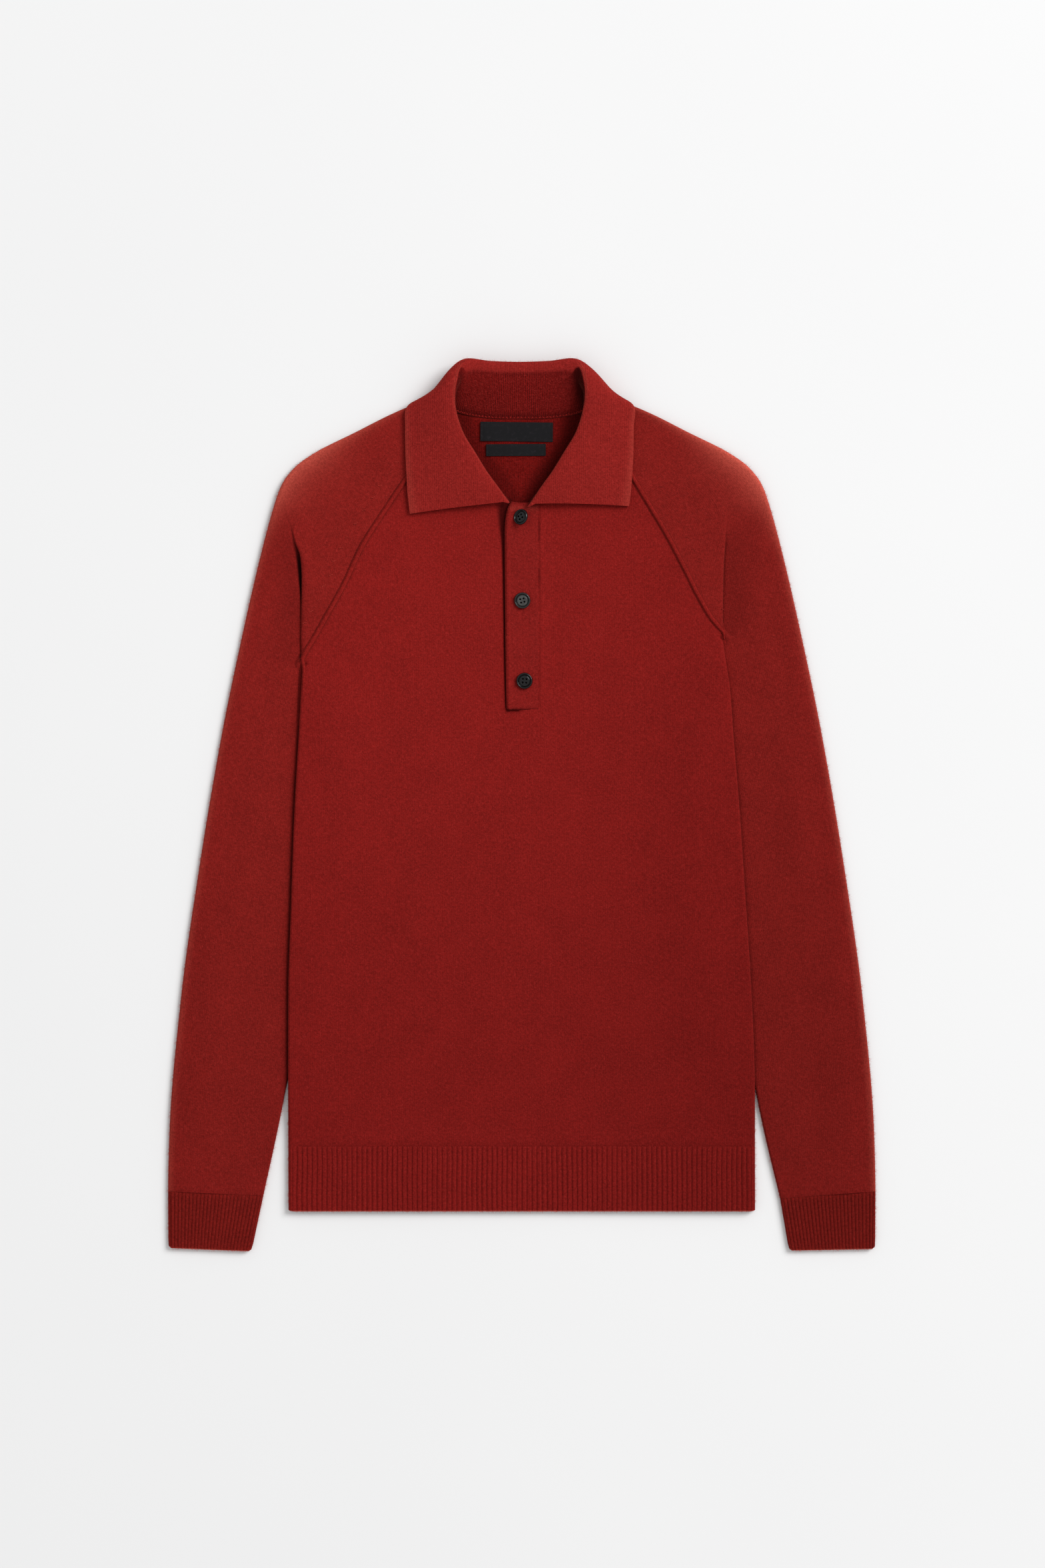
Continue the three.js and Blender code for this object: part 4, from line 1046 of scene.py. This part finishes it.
def make_cuff(name, side):
    cuff, radius = side.cuff, ARM_FOLD
    rows, under, around = 14, 10, 8
    fold_from = END_COLUMNS + under
    ribs_from = fold_from + around
    ribs_to = ribs_from + CUFF_RIBS * len(RIB_PLACES)
    top_inner = Vector((side.sign * (side.fold(cuff.top_inner) + CLOTH / 2), cuff.top_inner))
    bottom_inner = Vector((side.sign * (cuff.bottom_x + CLOTH / 2), cuff.bottom_inner))
    top_outer, bottom_outer = outer_at(side, cuff.top_outer), outer_at(side, cuff.bottom_outer)

    def lie(c, width):
        """Column c's distance in and height, round the cuff from the back's inner fold to the front's."""
        if c < END_COLUMNS:
            inward, up = rounded(radius, pi / 2 * (1 - c / END_COLUMNS))
            return width - inward, FLOOR + up
        if c < fold_from:
            return mix(width - radius, radius, (c - END_COLUMNS) / under), FLOOR
        if c < ribs_from:
            inward, up = rounded(radius, pi * (c - fold_from) / around)
            return inward, FLOOR + up
        if c <= ribs_to:
            return mix(radius, width - radius, rib_share(c - ribs_from, CUFF_RIBS)[0]), FLOOR + SLEEVE_LOFT
        inward, down = rounded(radius, pi / 2 * (c - ribs_to) / END_COLUMNS)
        return width - inward, FLOOR + SLEEVE_LOFT - down

    def point(c, r):
        t = r / rows if r != rows - 1 else 1 - 0.9 / CUFF_DEPTH
        outer, inner = top_outer.lerp(bottom_outer, t), top_inner.lerp(bottom_inner, t)
        reach = inner - outer
        width = reach.length
        reach.normalize()
        inward, z = lie(c, width)
        spot = outer + reach * inward
        groove = share = 0
        if ribs_from <= c <= ribs_to:
            share, phase = rib_share(c - ribs_from, CUFF_RIBS)
            groove = rib_groove(phase, CUFF_WIDTH / CUFF_RIBS) * (0.15 + 0.85 * ease(t * 9))
            groove *= 0.4 + 0.6 * ease((1 - t) * 14)
            z -= RIB_DEPTH * 0.85 * groove + 0.15 * hump(t * CUFF_DEPTH, 3)
        y = spot.y + corner_rise(2.6 - min(inward, width - inward), 2.6) * ease((t - 0.85) / 0.15)
        if r == rows:
            y -= scallop(share, CUFF_RIBS)
        # Painted shade in the grooves between the ribs, and a painted highlight on the hairs of the cuff's
        # end.
        return (spot.x, y, z), (inward, t * CUFF_DEPTH), 0.85 * groove, EDGE_LIGHT * (r == rows)

    columns = ribs_to + END_COLUMNS
    return knitted(name + "_ribs", columns, rows, point, CUFF_WOOL, name, rounding=0.4)


# ---------------------------------------------------------------- seams that stand up from the cloth
def make_cord(name, rows, path, section, painted_shade=0.0):
    """A closed strip along a path. path(t) gives its middle and the way across it, section(t) its outline as
    (across, up, painted shade) points. The last argument is the least painted shade anywhere on it."""
    around = len(section(0))
    middles = [path(r / rows) for r in range(rows + 1)]
    outlines = [section(r / rows) for r in range(rows + 1)]

    def point(c, r):
        middle, across = middles[r]
        out, up, dark = outlines[r][c % around]
        spot = middle + across * out
        return (spot.x, spot.y, middle.z + up), (out, r * 1.5), max(dark, painted_shade)

    bm = knitted_grid(around, rows, point)
    bmesh.ops.remove_doubles(bm, verts=bm.verts, dist=1e-6)
    bmesh.ops.holes_fill(bm, edges=[edge for edge in bm.edges if edge.is_boundary], sides=0)
    bmesh.ops.recalc_face_normals(bm, faces=bm.faces)
    return finished(name, bm, SEAM_WOOL)


def oval(wide, tall, count):
    turns = [2 * pi * i / count for i in range(count)]
    return [(wide * cos(turn), tall * sin(turn), 0) for turn in turns]


def add_stitch(bm, spot, turn, size, subdivisions):
    """One raised stitch: a small rounded loop of yarn with the given half sizes in millimetres."""
    shape = Matrix.Diagonal((*(half / PER_METRE for half in size), 1))
    matrix = Matrix.Translation(spot) @ Matrix.Rotation(turn, 4, "Z") @ shape
    bmesh.ops.create_icosphere(bm, subdivisions=subdivisions, radius=1, matrix=matrix)


# A round of linking with the flat margin that beds it into the cloth: (across, up, painted shade).
BEAD = [(-2.9, 0.02, 0), (-2.45, 0.1, 0.2), (-2.1, 0.02, 0.5), (-1.9, 0.35, 0.3), (-1.5, 0.95, 0.05),
        (-0.75, 1.35, 0), (0.15, 1.45, 0), (0.95, 1.2, 0), (1.55, 0.75, 0.05), (1.95, 0.25, 0.35),
        (2.25, 0.08, 0.42), (2.8, 0.02, 0), (2.4, -0.5, 0), (0, -0.6, 0), (-2.4, -0.5, 0)]
RAGLAN_SEAM_TOP = 664


def make_raglan_seam(name, side):
    """The raised round of linking along a raglan seam. It dies out along the body's folded edge."""
    armpit, sign = side.armpit, side.sign
    bottom = armpit - side.seam_end

    def line(y):
        return side.raglan(y) if y > armpit else side.edge(y)

    def path(t):
        y = mix(RAGLAN_SEAM_TOP, bottom, t)
        across = Vector((1, (line(y - 1) - line(y + 1)) / 2, 0)).normalized()
        across.x *= sign
        on_body = ease((armpit + 9 - y) / 20)
        sunk = 0.75 * on_body + 1.1 * ease((bottom + 6 - y) / 6)
        x = sign * line(y)
        height = front_height(x, y) + CLOTH / 2 + 0.25 * front_relief(x, y) - sunk
        return Vector((x, y, height + 0.06)) + across * mix(1.85, side.seam_to, on_body), across

    def section(t):
        y = mix(RAGLAN_SEAM_TOP, bottom, t)
        thin = mix(0.5, 1, ease((1 - t) * 14)) * mix(1, 0.6, ease((armpit + 6 - y) / 12))
        rise = 0.95 + 0.05 * sin(t * 560)
        return [(out * thin, up * mix(0.6, 1, thin) * rise, dark * thin) for out, up, dark in BEAD]

    return make_cord(name, 180, path, section)


def make_underarm_seam(name, side):
    """The seam that closes the underarm between the folded edge of the body and the sleeve."""
    armpit = side.armpit

    def path(t):
        y = mix(armpit + 9, side.tucks_under - 32, t)
        x = side.sign * (side.edge(min(y, armpit)) + 0.5)
        height = mix(front_height(x, armpit) - 1.5, 3.5, ease((armpit + 3 - y) / 12))
        return Vector((x, y, height)), Vector((side.sign, 0, 0))

    def section(t):
        ends = ease(t * 8) * ease((1 - t) * 5)
        return oval(mix(0.6, 3.2, ends), mix(0.4, 1.4, ends), 12)

    # The cord takes painted shade, as dark as the slot under the body's edge.
    return make_cord(name, 40, path, section, painted_shade=0.7 * side.slot_shade)


def make_fashion_marks(name, side):
    """The row of small raised stitches where the sleeve was narrowed, beside its raglan seam."""
    bm = bmesh.new()
    sign, marks = side.sign, 14
    spots = random.Random(7 if side is LEFT else 8)
    for i in range(marks):
        y = 646 - i * 10.8 + spots.uniform(-1.6, 1.6)
        away = mix(22, 17, i / (marks - 1)) + spots.uniform(-1.4, 1.4)
        x = sign * (side.raglan(y) + away)
        top = front_height(sign * side.raglan(y), y) + CLOTH / 2
        size = spots.uniform(0.6, 1) * side.mark_size
        for stitch in (-1, 0, 1):
            turn = spots.uniform(-0.9, 0.9) - sign * 0.4
            on = spots.uniform(-0.5, 0.5) - sign * stitch * 0.4
            add_stitch(bm, place(x + stitch * 1.15, y + on, top + 0.12), turn, (size, 0.6 * size, 0.42), 2)
    return finished(name, smoothed(bm), MARK_WOOL_PAINTED_HIGHLIGHT)


def make_collar_linking():
    """The row of chain loops that joins the collar's stand to the back of the neck."""
    line = collar_line(0)
    loops = 84

    def path(t):
        at = mix(0.27, 0.73, t)
        spot = line(at)
        forward = (line(at + 0.004) - spot).normalized()
        return Vector((spot.x, spot.y - 0.4, spot.z + 0.55)), Vector((-forward.y, forward.x, 0))

    # The chain is darkened with painted shade.
    strip = make_cord("collar_linking", 90, path, lambda t: oval(1.5, 0.55, 10), 0.6)
    bm = bmesh.new()
    bm.from_mesh(strip.data)
    for i in range(loops):
        middle, across = path((i + 0.5) / loops)
        turn = atan2(-across.x, across.y) + (0.8 if i % 2 else -0.8)
        add_stitch(bm, place(middle.x, middle.y, middle.z + 0.45), turn, (1.5, 0.6, 0.4), 1)
    smoothed(bm).to_mesh(strip.data)
    bm.free()
    return strip


# ---------------------------------------------------------------- collar
COLLAR_ALONG = 300
COLLAR_ACROSS = 60
NARROWER = {3: -1, 4: -2.4, 5: -2.6, 6: -1}
# How far each section stands out beyond the solid, by the part of the section and the side.
COLLAR_FULLER = {
    (1, -1): NARROWER, (1, 1): NARROWER,
    (2, -1): {2: 2.6, 3: 3.4, 4: 2.8, 5: 0.8}, (2, 1): {2: 4.4, 3: 6.6, 4: 7.4, 5: 4},
    (3, -1): {3: 2.6, 4: 2, 5: 0.6}, (3, 1): {3: 6, 4: 7, 5: 2.4},
}


def collar_line(part):
    """The line of one part of the collar's sections, from the left front end round the back to the right."""
    def half(sign):
        line = []
        fuller = COLLAR_FULLER.get((part, sign), {})
        for i, section in enumerate(COLLAR_SECTIONS):
            x, y, z = section[part]
            forward = ease((i - 4) / (len(COLLAR_SECTIONS) - 5)) if part == 3 else 0
            x += fuller.get(i, 0)
            line.append((COLLAR_MIDDLE + sign * x, y + sign * COLLAR_POINT_DROP * forward, z))
        return line

    return curve_through([*reversed(half(-1)), *half(1)[1:]])


def collar_section(seam, turn_in, turn_out, edge):
    upward, inward = (turn_in - seam).normalized(), (turn_out - edge).normalized()
    out = (upward + inward).normalized() * (turn_out - turn_in).length
    crest = (turn_in + turn_out) / 2 + out * FOLD_CREST
    return curve_through([seam, turn_in - out * FOLD_BACK, crest, turn_out - out * FOLD_BACK, edge])


# The stand and the fall are long and the fold is short, so the places down a section bunch up at the fold.
down_collar = through([(0, 0), (0.3, 0.25), (0.42, 0.42), (0.5, 0.5), (0.58, 0.6), (0.68, 0.75), (1, 1)])


def make_collar():
    lines = [collar_line(part) for part in range(4)]
    sections = [[line(i / COLLAR_ALONG) for line in lines] for i in range(COLLAR_ALONG + 1)]
    curves = [collar_section(*points) for points in sections]
    travelled = running_lengths((b[2].xy - a[2].xy).length for a, b in zip(sections, sections[1:]))
    lengths = []
    for curve in curves:
        spots = [curve(down_collar(k / COLLAR_ACROSS)) for k in range(COLLAR_ACROSS + 1)]
        lengths.append(running_lengths((b - a).length for a, b in zip(spots, spots[1:])))

    def point(c, r):
        v, u = c / COLLAR_ACROSS, r / COLLAR_ALONG
        p = curves[r](down_collar(v))
        back = 1 - ease((abs(u - 0.5) - 0.105) / 0.03)
        stand = 1 - ease((v - mix(0.42, 0.29, back)) / 0.05)
        p.z -= 0.5 * back * hump(v - 0.3, 0.03)
        hem = 0.25 * hump(v - 0.965, 0.02) - 0.2 * hump(v - 0.93, 0.02)
        p.z += ease((v - 0.62) / 0.1) * (0.35 * waver(p.x, p.y, 26, 15) + hem)
        # The two front ends reach a little further down over the top of the placket.
        tip = hump(v - 0.5, 0.2)
        p += Vector((2.4, -5, -0.8)) * ease((0.075 - u) / 0.075) * tip
        p += Vector((-4, -8.5, -1)) * ease((u - 0.925) / 0.075) * tip
        # Painted shade: in the inner corners of the stand, under the roll at the back and along the stand's
        # seam.
        inside = stand * (0.85 * ease((u - 0.565) / 0.07) + 0.5 * ease((0.395 - u) / 0.05))
        dark = max(inside, 0.18 * back * hump(v - 0.305, 0.03), 0.5 * stand * hump(v, 0.03))
        knit = (p.x, p.y) if v > 0.5 else (travelled[r], lengths[r][c])
        lit = 0.14 * hump(v - 1, 0.025) + 0.1 * (1 - back) * hump(v - 0.5, 0.04)
        return (p.x, p.y, p.z), knit, dark, lit, stand

    return knitted("collar_knit", COLLAR_ACROSS, COLLAR_ALONG, point, COLLAR_WOOL, "collar",
                   wall=COLLAR_CLOTH, rounding=0.6)


# ---------------------------------------------------------------- the fibres that stand out from the edges
FIBRE_STEP = 8
FIBRES_A_STEP = 46
# The lowest that a fibre may lie over the table, in metres.
FIBRE_FLOOR = 0.1 / PER_METRE


def fibre_patch(seed):
    """A few millimetres of edge along X with its fibres standing out along Y. Millimetres."""
    chance = random.Random(seed)
    bm = bmesh.new()
    for _ in range(FIBRES_A_STEP):
        length = min(0.5 + 0.9 * chance.expovariate(1), 3.2)
        root = Matrix.Translation((chance.uniform(-0.5, 0.5) * FIBRE_STEP, -0.3, chance.uniform(-0.8, 0.8)))
        lean = Matrix.Rotation(chance.gauss(0, 0.75), 4, "Z") @ Matrix.Rotation(chance.gauss(0, 0.5), 4, "X")
        lie = Matrix.Rotation(-pi / 2, 4, "X") @ Matrix.Translation((0, 0, length / 2))
        bmesh.ops.create_cone(bm, cap_ends=False, segments=3, radius1=0.07, radius2=0.02, depth=length,
                              matrix=root @ lean @ lie)
    bm.transform(Matrix.Scale(1 / PER_METRE, 4))
    return as_mesh("fibre_patch", bm)


def every_step(points):
    """The points resampled so that they lie one patch of fibres apart."""
    run = running_lengths((b - a).length for a, b in zip(points, points[1:]))
    count = max(2, round(run[-1] / FIBRE_STEP))
    curve = curve_through(points)
    share = through([(length, i / (len(run) - 1)) for i, length in enumerate(run)])
    return [curve(share(run[-1] * i / count)) for i in range(count + 1)]


def make_fluff(name, edges, seed):
    """Fibres along lines of edge, each walked with the outside on its left."""
    patches = [fibre_patch(seed + i) for i in range(4)]
    bm = bmesh.new()
    for points in edges:
        steps = [place(*p) for p in every_step([Vector(p) for p in points])]
        for i, (a, b) in enumerate(zip(steps, steps[1:])):
            along = (b - a).normalized()
            out = Vector((-along.y, along.x, 0)).normalized()
            turn = Matrix((along, out, along.cross(out))).transposed().to_4x4()
            patch = patches[(i * 7 + seed) % 4].copy()
            patch.transform(Matrix.Translation((a + b) / 2) @ turn)
            bm.from_mesh(patch)
            bpy.data.meshes.remove(patch)
    for vert in bm.verts:
        vert.co.z = max(vert.co.z, FIBRE_FLOOR)
    for patch in patches:
        bpy.data.meshes.remove(patch)
    return finished(name, bm, FLUFF_WOOL_PAINTED_HIGHLIGHT)


def sleeve_edges(side):
    """The outer and inner edges of a sleeve and the end of its cuff, each with the outside on its left."""
    cuff, sign, middle, top = side.cuff, side.sign, FLOOR + SLEEVE_LOFT / 2, FLOOR + SLEEVE_LOFT
    levels = [cuff.bottom_outer + 6 + i * (652 - cuff.bottom_outer) / 40 for i in range(41)]
    outer = [(sign * outline(y), y, FLOOR + CAP_FOLD if y > 500 else middle) for y in levels]
    bottom = cuff.bottom_x + CLOTH
    inner = [(sign * (bottom - 0.6), cuff.bottom_inner + 6, middle),
             (sign * (bottom + side.fold(cuff.top_inner)) / 2, -12, middle)]
    inner += [(sign * side.fold(y), y, middle) for y in range(int(cuff.top_inner), 100, 12)]
    end = [(sign * (outline(cuff.bottom_outer) - 4), cuff.bottom_outer, top),
           (sign * (bottom + 4), cuff.bottom_inner, top)]
    return [outer[::-1], inner, end] if side is RIGHT else [outer, inner[::-1], end[::-1]]


def body_edges():
    low = FLOOR + BODY_LOFT / 2
    left = [(-LEFT.edge(y), y, low) for y in range(6, 112, 10)]
    right = [(RIGHT.edge(y), y, low) for y in range(106, 0, -10)]
    hem = [(x, HEM_BOTTOM, FLOOR + BODY_LOFT) for x in range(196, -200, -14)]
    return [left, right, hem]


def collar_edges():
    inner, outer = collar_line(1), collar_line(2)
    pairs = [(inner(i / 60), outer(i / 60)) for i in range(17, 44)]
    return [[outside - (outside - inside).normalized() * 0.9 for inside, outside in pairs]]


# ---------------------------------------------------------------- placket, buttons and labels
PLACKET_TOP_HEIGHT = FLOOR + BODY_LOFT + CLOTH + SEAM + 0.1


def placket_height(x):
    level = PLACKET.left + 6
    return mix(PLACKET_TOP_HEIGHT, FLOOR + BODY_LOFT, clamp((x - level) / (PLACKET.right - level)))


def make_placket_over():
    columns, rows = 40, 150
    right, bottom, top = PLACKET.right + 0.5, PLACKET.bottom - 0.6, PLACKET.top - 0.9

    def point(c, r):
        s, t = c / columns, r / rows
        y = mix(bottom, top, t)
        left = placket_left(y)
        x = mix(left, right, s)
        fold = 0.9 * hump(x - left - 1.6, 2.2) - 1.3 * hump(x - left, 0.7)
        tucked = 0.75 * ease((x - right + 1.8) / 1.8)
        lip = ease((t - 0.976) / 0.024)
        z = placket_height(x) + fold - tucked - 0.7 * lip + 0.25 * hump(t - 0.962, 0.01)
        z += 0.25 * waver(x, y, 22, 3) * ease(t * 12) - 0.5 * hump(y - bottom, 0.8)
        for button in BUTTONS.values():
            z -= button.press * hump(hypot(x - button.x, y - button.y), BUTTON_RADIUS)
        ragged = 0.35 * waver(x, 0, 2.2, 8) + 0.3 * waver(x, 0, 5, 2)
        # Painted shade along the bottom edge and under the lip at the top.
        dark = 0.7 * hump(y - bottom, 1.1) * ease((right - x) / 1.5) + 0.25 * lip
        bow = 1.6 * ease((t - 0.9) / 0.1) * ((2 * s - 0.8) ** 2 - 0.4)
        shaped = y + bow + ragged * hump(y - bottom, 3)
        return (x, shaped, z), (x, y), min(dark, 1), 0.08 * hump(t - 0.97, 0.012)

    return knitted("placket_over_band", columns, rows, point, PLACKET_WOOL, "placket_over",
                   rounding=0.55)


def make_placket_under():
    columns, rows = 14, 90

    def point(c, r):
        s = c / columns
        x = mix(PLACKET.left + PLACKET.step, PLACKET.under, s)
        y = mix(PLACKET.bottom + 2, PLACKET.top - 2, r / rows)
        return (x, y, mix(FLOOR + BODY_LOFT - 0.1, 2 * FLOOR + SEAM + CLOTH / 2, s)), (x, y)

    return knitted("placket_under_band", columns, rows, point, PLACKET_WOOL, "placket_under")


def button_disc():
    """A dished button with a raised rim, turned from its profile, on z = 0 at the origin. Millimetres."""
    rim = [(6.5, 0.35), (BUTTON_RADIUS, 1), (BUTTON_RADIUS, 1.6), (6.85, 2.15), (6.55, 2.55), (6.15, 2.75)]
    groove = [(5.8, 2.6), (5.5, 2.1), (5.3, 1.5), (5.05, 1.35), (4.8, 1.5), (4.6, 1.9)]
    profile = [(0, 0), (5.6, 0), *rim, *groove, (4.2, 2.1), (3.2, 2.15), (1.6, 2.05), (0, 2)]
    bm = bmesh.new()
    verts = [bm.verts.new((r, 0, z)) for r, z in profile]
    edges = [bm.edges.new(pair) for pair in zip(verts, verts[1:])]
    bmesh.ops.spin(bm, geom=[*verts, *edges], cent=(0, 0, 0), axis=(0, 0, 1), angle=2 * pi, steps=48,
                   use_merge=True, use_duplicate=False)
    bmesh.ops.remove_doubles(bm, verts=bm.verts, dist=1e-4)
    bmesh.ops.recalc_face_normals(bm, faces=bm.faces)
    return as_mesh("turned_button", bm)


def drilled(mesh):
    """The button's mesh with its four holes cut through."""
    drill_bm = bmesh.new()
    for i in (-1, 1):
        for j in (-1, 1):
            bmesh.ops.create_cone(drill_bm, cap_ends=True, segments=16, radius1=0.85, radius2=0.85, depth=8,
                                  matrix=Matrix.Translation((i * 1.5, j * 1.5, 1)))
    drill_mesh = as_mesh("drill", drill_bm)
    disc, drill = in_scene("disc", mesh), in_scene("drill", drill_mesh)
    cut = disc.modifiers.new("holes", "BOOLEAN")
    cut.operation = "DIFFERENCE"
    cut.solver = "EXACT"
    cut.object = drill
    result = bpy.data.meshes.new_from_object(disc.evaluated_get(bpy.context.evaluated_depsgraph_get()))
    for made in (disc, drill):
        bpy.data.objects.remove(made)
    bpy.data.meshes.remove(drill_mesh)
    return result


def button_horn(blank, stand_up):
    """The drilled blank in its place, with painted shade marked in its groove and its holes, and its rim
    marked darker.
    """
    bm = bmesh.new()
    bm.from_mesh(blank)
    dark = bm.verts.layers.float.new("painted_shade")
    for vert in bm.verts:
        from_axis = vert.co.xy.length
        groove = hump(from_axis - 5.1, 0.36) * (vert.co.z > 1)
        vert[dark] = max(groove, 0.9 * (vert.co.z < 1.9 and from_axis < 4), 0.75 * (from_axis > 5.4))
    bm.transform(stand_up)
    folds = [edge for edge in smoothed(bm).edges if len(edge.link_faces) == 2]
    sharp = [edge for edge in folds if edge.calc_face_angle() > 0.9]
    bmesh.ops.bevel(bm, geom=sharp, offset=0.00012, affect="EDGES", segments=2, profile=0.5, material=-1)
    return bm


def button_shank(stand_up):
    """The turns of thread that the button stands on."""
    bm = bmesh.new()
    for level in (0.35, 0.75, 1.15):
        bmesh.ops.create_cone(bm, cap_ends=True, segments=20, radius1=2.7, radius2=2.5, depth=0.42,
                              matrix=Matrix.Translation((0, 0, level)))
    bm.transform(stand_up)
    return bm


def make_buttons():
    blank = drilled(button_disc())
    made = []
    for name, button in BUTTONS.items():
        height = placket_height(button.x) + CLOTH / 2 + 0.2 + BUTTON_RADIUS * abs(sin(button.lean)) * 0.6
        turn = Matrix.Rotation(button.lean, 4, Vector(button.about)) @ Matrix.Rotation(button.twist, 4, "Z")
        spot = Matrix.Translation(place(button.x, button.y, height))
        stand_up = spot @ turn @ Matrix.Scale(1 / PER_METRE, 4)
        # The middle button takes the horn with the painted reflection.
        material = HORN_PAINTED_REFLECTION if name == "button_middle" else DARK_HORN
        made.append(finished(name + "_horn", button_horn(blank, stand_up), material, name))
        made.append(finished(name + "_thread", button_shank(stand_up), THREAD))
    return made


def make_label(name, label):
    columns, rows = 60, 16

    def point(c, r):
        u, v = c / columns - 0.5, r / rows - 0.5
        dx, dy = u * label.width, v * label.height
        hem = 0.25 * hump(abs(u) - 0.47, 0.012)
        z = CLOTH + 1.25 + 0.25 * sin(u * 9 + label.y) + 0.15 * sin(v * 5) - hem
        return (label.x + dx - dy * label.tilt, label.y + dy + dx * label.tilt, z), (dx, dy)

    return knitted(name + "_tape", columns, rows, point, TAPE, name, wall=0.55, rounding=0.2)


front = make_front()
back = make_back()
hem_front = make_hem_front()
hem_back = make_hem_back()
sleeves = {name: make_sleeve("sleeve_" + name, side) for name, side in SIDES.items()}
cuffs = {name: make_cuff("cuff_" + name, side) for name, side in SIDES.items()}
for name, side in SIDES.items():
    make_fluff("fluff_" + name, sleeve_edges(side), 11)
body_fluff = make_fluff("fluff_body", body_edges(), 23)
collar_fluff = make_fluff("fluff_collar", collar_edges(), 31)
for name, side in SIDES.items():
    make_raglan_seam("raglan_seam_" + name, side)
    make_underarm_seam("underarm_seam_" + name, side)
    make_fashion_marks("fashion_marks_" + name, side)
collar = make_collar()
collar_parts = [make_collar_linking(), collar_fluff]
placket_over = make_placket_over()
placket_under = make_placket_under()
buttons = make_buttons()
labels = [make_label(name, label) for name, label in LABELS.items()]

# ---------------------------------------------------------------- table, light and camera
SENSOR = 36
LENS = 100
VIEW_HEIGHT = 1352.4
VIEW_MIDDLE = (0.6, 367.4, 5)
# How far the camera sees, in metres.
FARTHEST = 30


def make_table():
    bm = bmesh.new()
    bmesh.ops.create_grid(bm, x_segments=2, y_segments=2, size=4)
    nodes = Finish("pale_table")
    grain = nodes.noise(nodes.coordinate("Object"), 3.0)
    base = nodes.mix(grain, (0.775, 0.775, 0.777, 1), (0.795, 0.795, 0.795, 1))
    table = in_scene("table", as_mesh("table", bm))
    table.data.materials.append(nodes.surface(base, roughness=0.95, specular=0.1))


def add_softbox(spot, target, size, watts):
    """A square soft light. Its places and its size are in metres."""
    light = bpy.data.lights.new("key", "AREA")
    light.shape = "RECTANGLE"
    light.size = light.size_y = size
    light.energy = watts
    made = in_scene("key", light)
    made.location = spot
    made.rotation_euler = (Vector(target) - Vector(spot)).to_track_quat("-Z", "Y").to_euler()


def add_world(strength):
    world = bpy.data.worlds.new("studio")
    world.use_nodes = True
    background = world.node_tree.nodes["Background"]
    background.inputs[0].default_value = (1.0, 1.0, 1.0, 1.0)
    background.inputs[1].default_value = strength
    bpy.context.scene.world = world


def add_camera():
    camera_data = bpy.data.cameras.new("camera")
    camera_data.sensor_width = SENSOR
    camera_data.lens = LENS
    camera_data.clip_end = FARTHEST
    camera = in_scene("camera", camera_data)
    camera.location = place(*VIEW_MIDDLE) + Vector((0, 0, VIEW_HEIGHT / PER_METRE * LENS / SENSOR))
    bpy.context.scene.camera = camera


make_table()
add_softbox(spot=(7.0, 4.6, 6.6), target=(0, 0.05, 0), size=5.4, watts=995)
add_world(strength=0.65)
add_camera()
bpy.context.scene.view_settings.view_transform = "Standard"
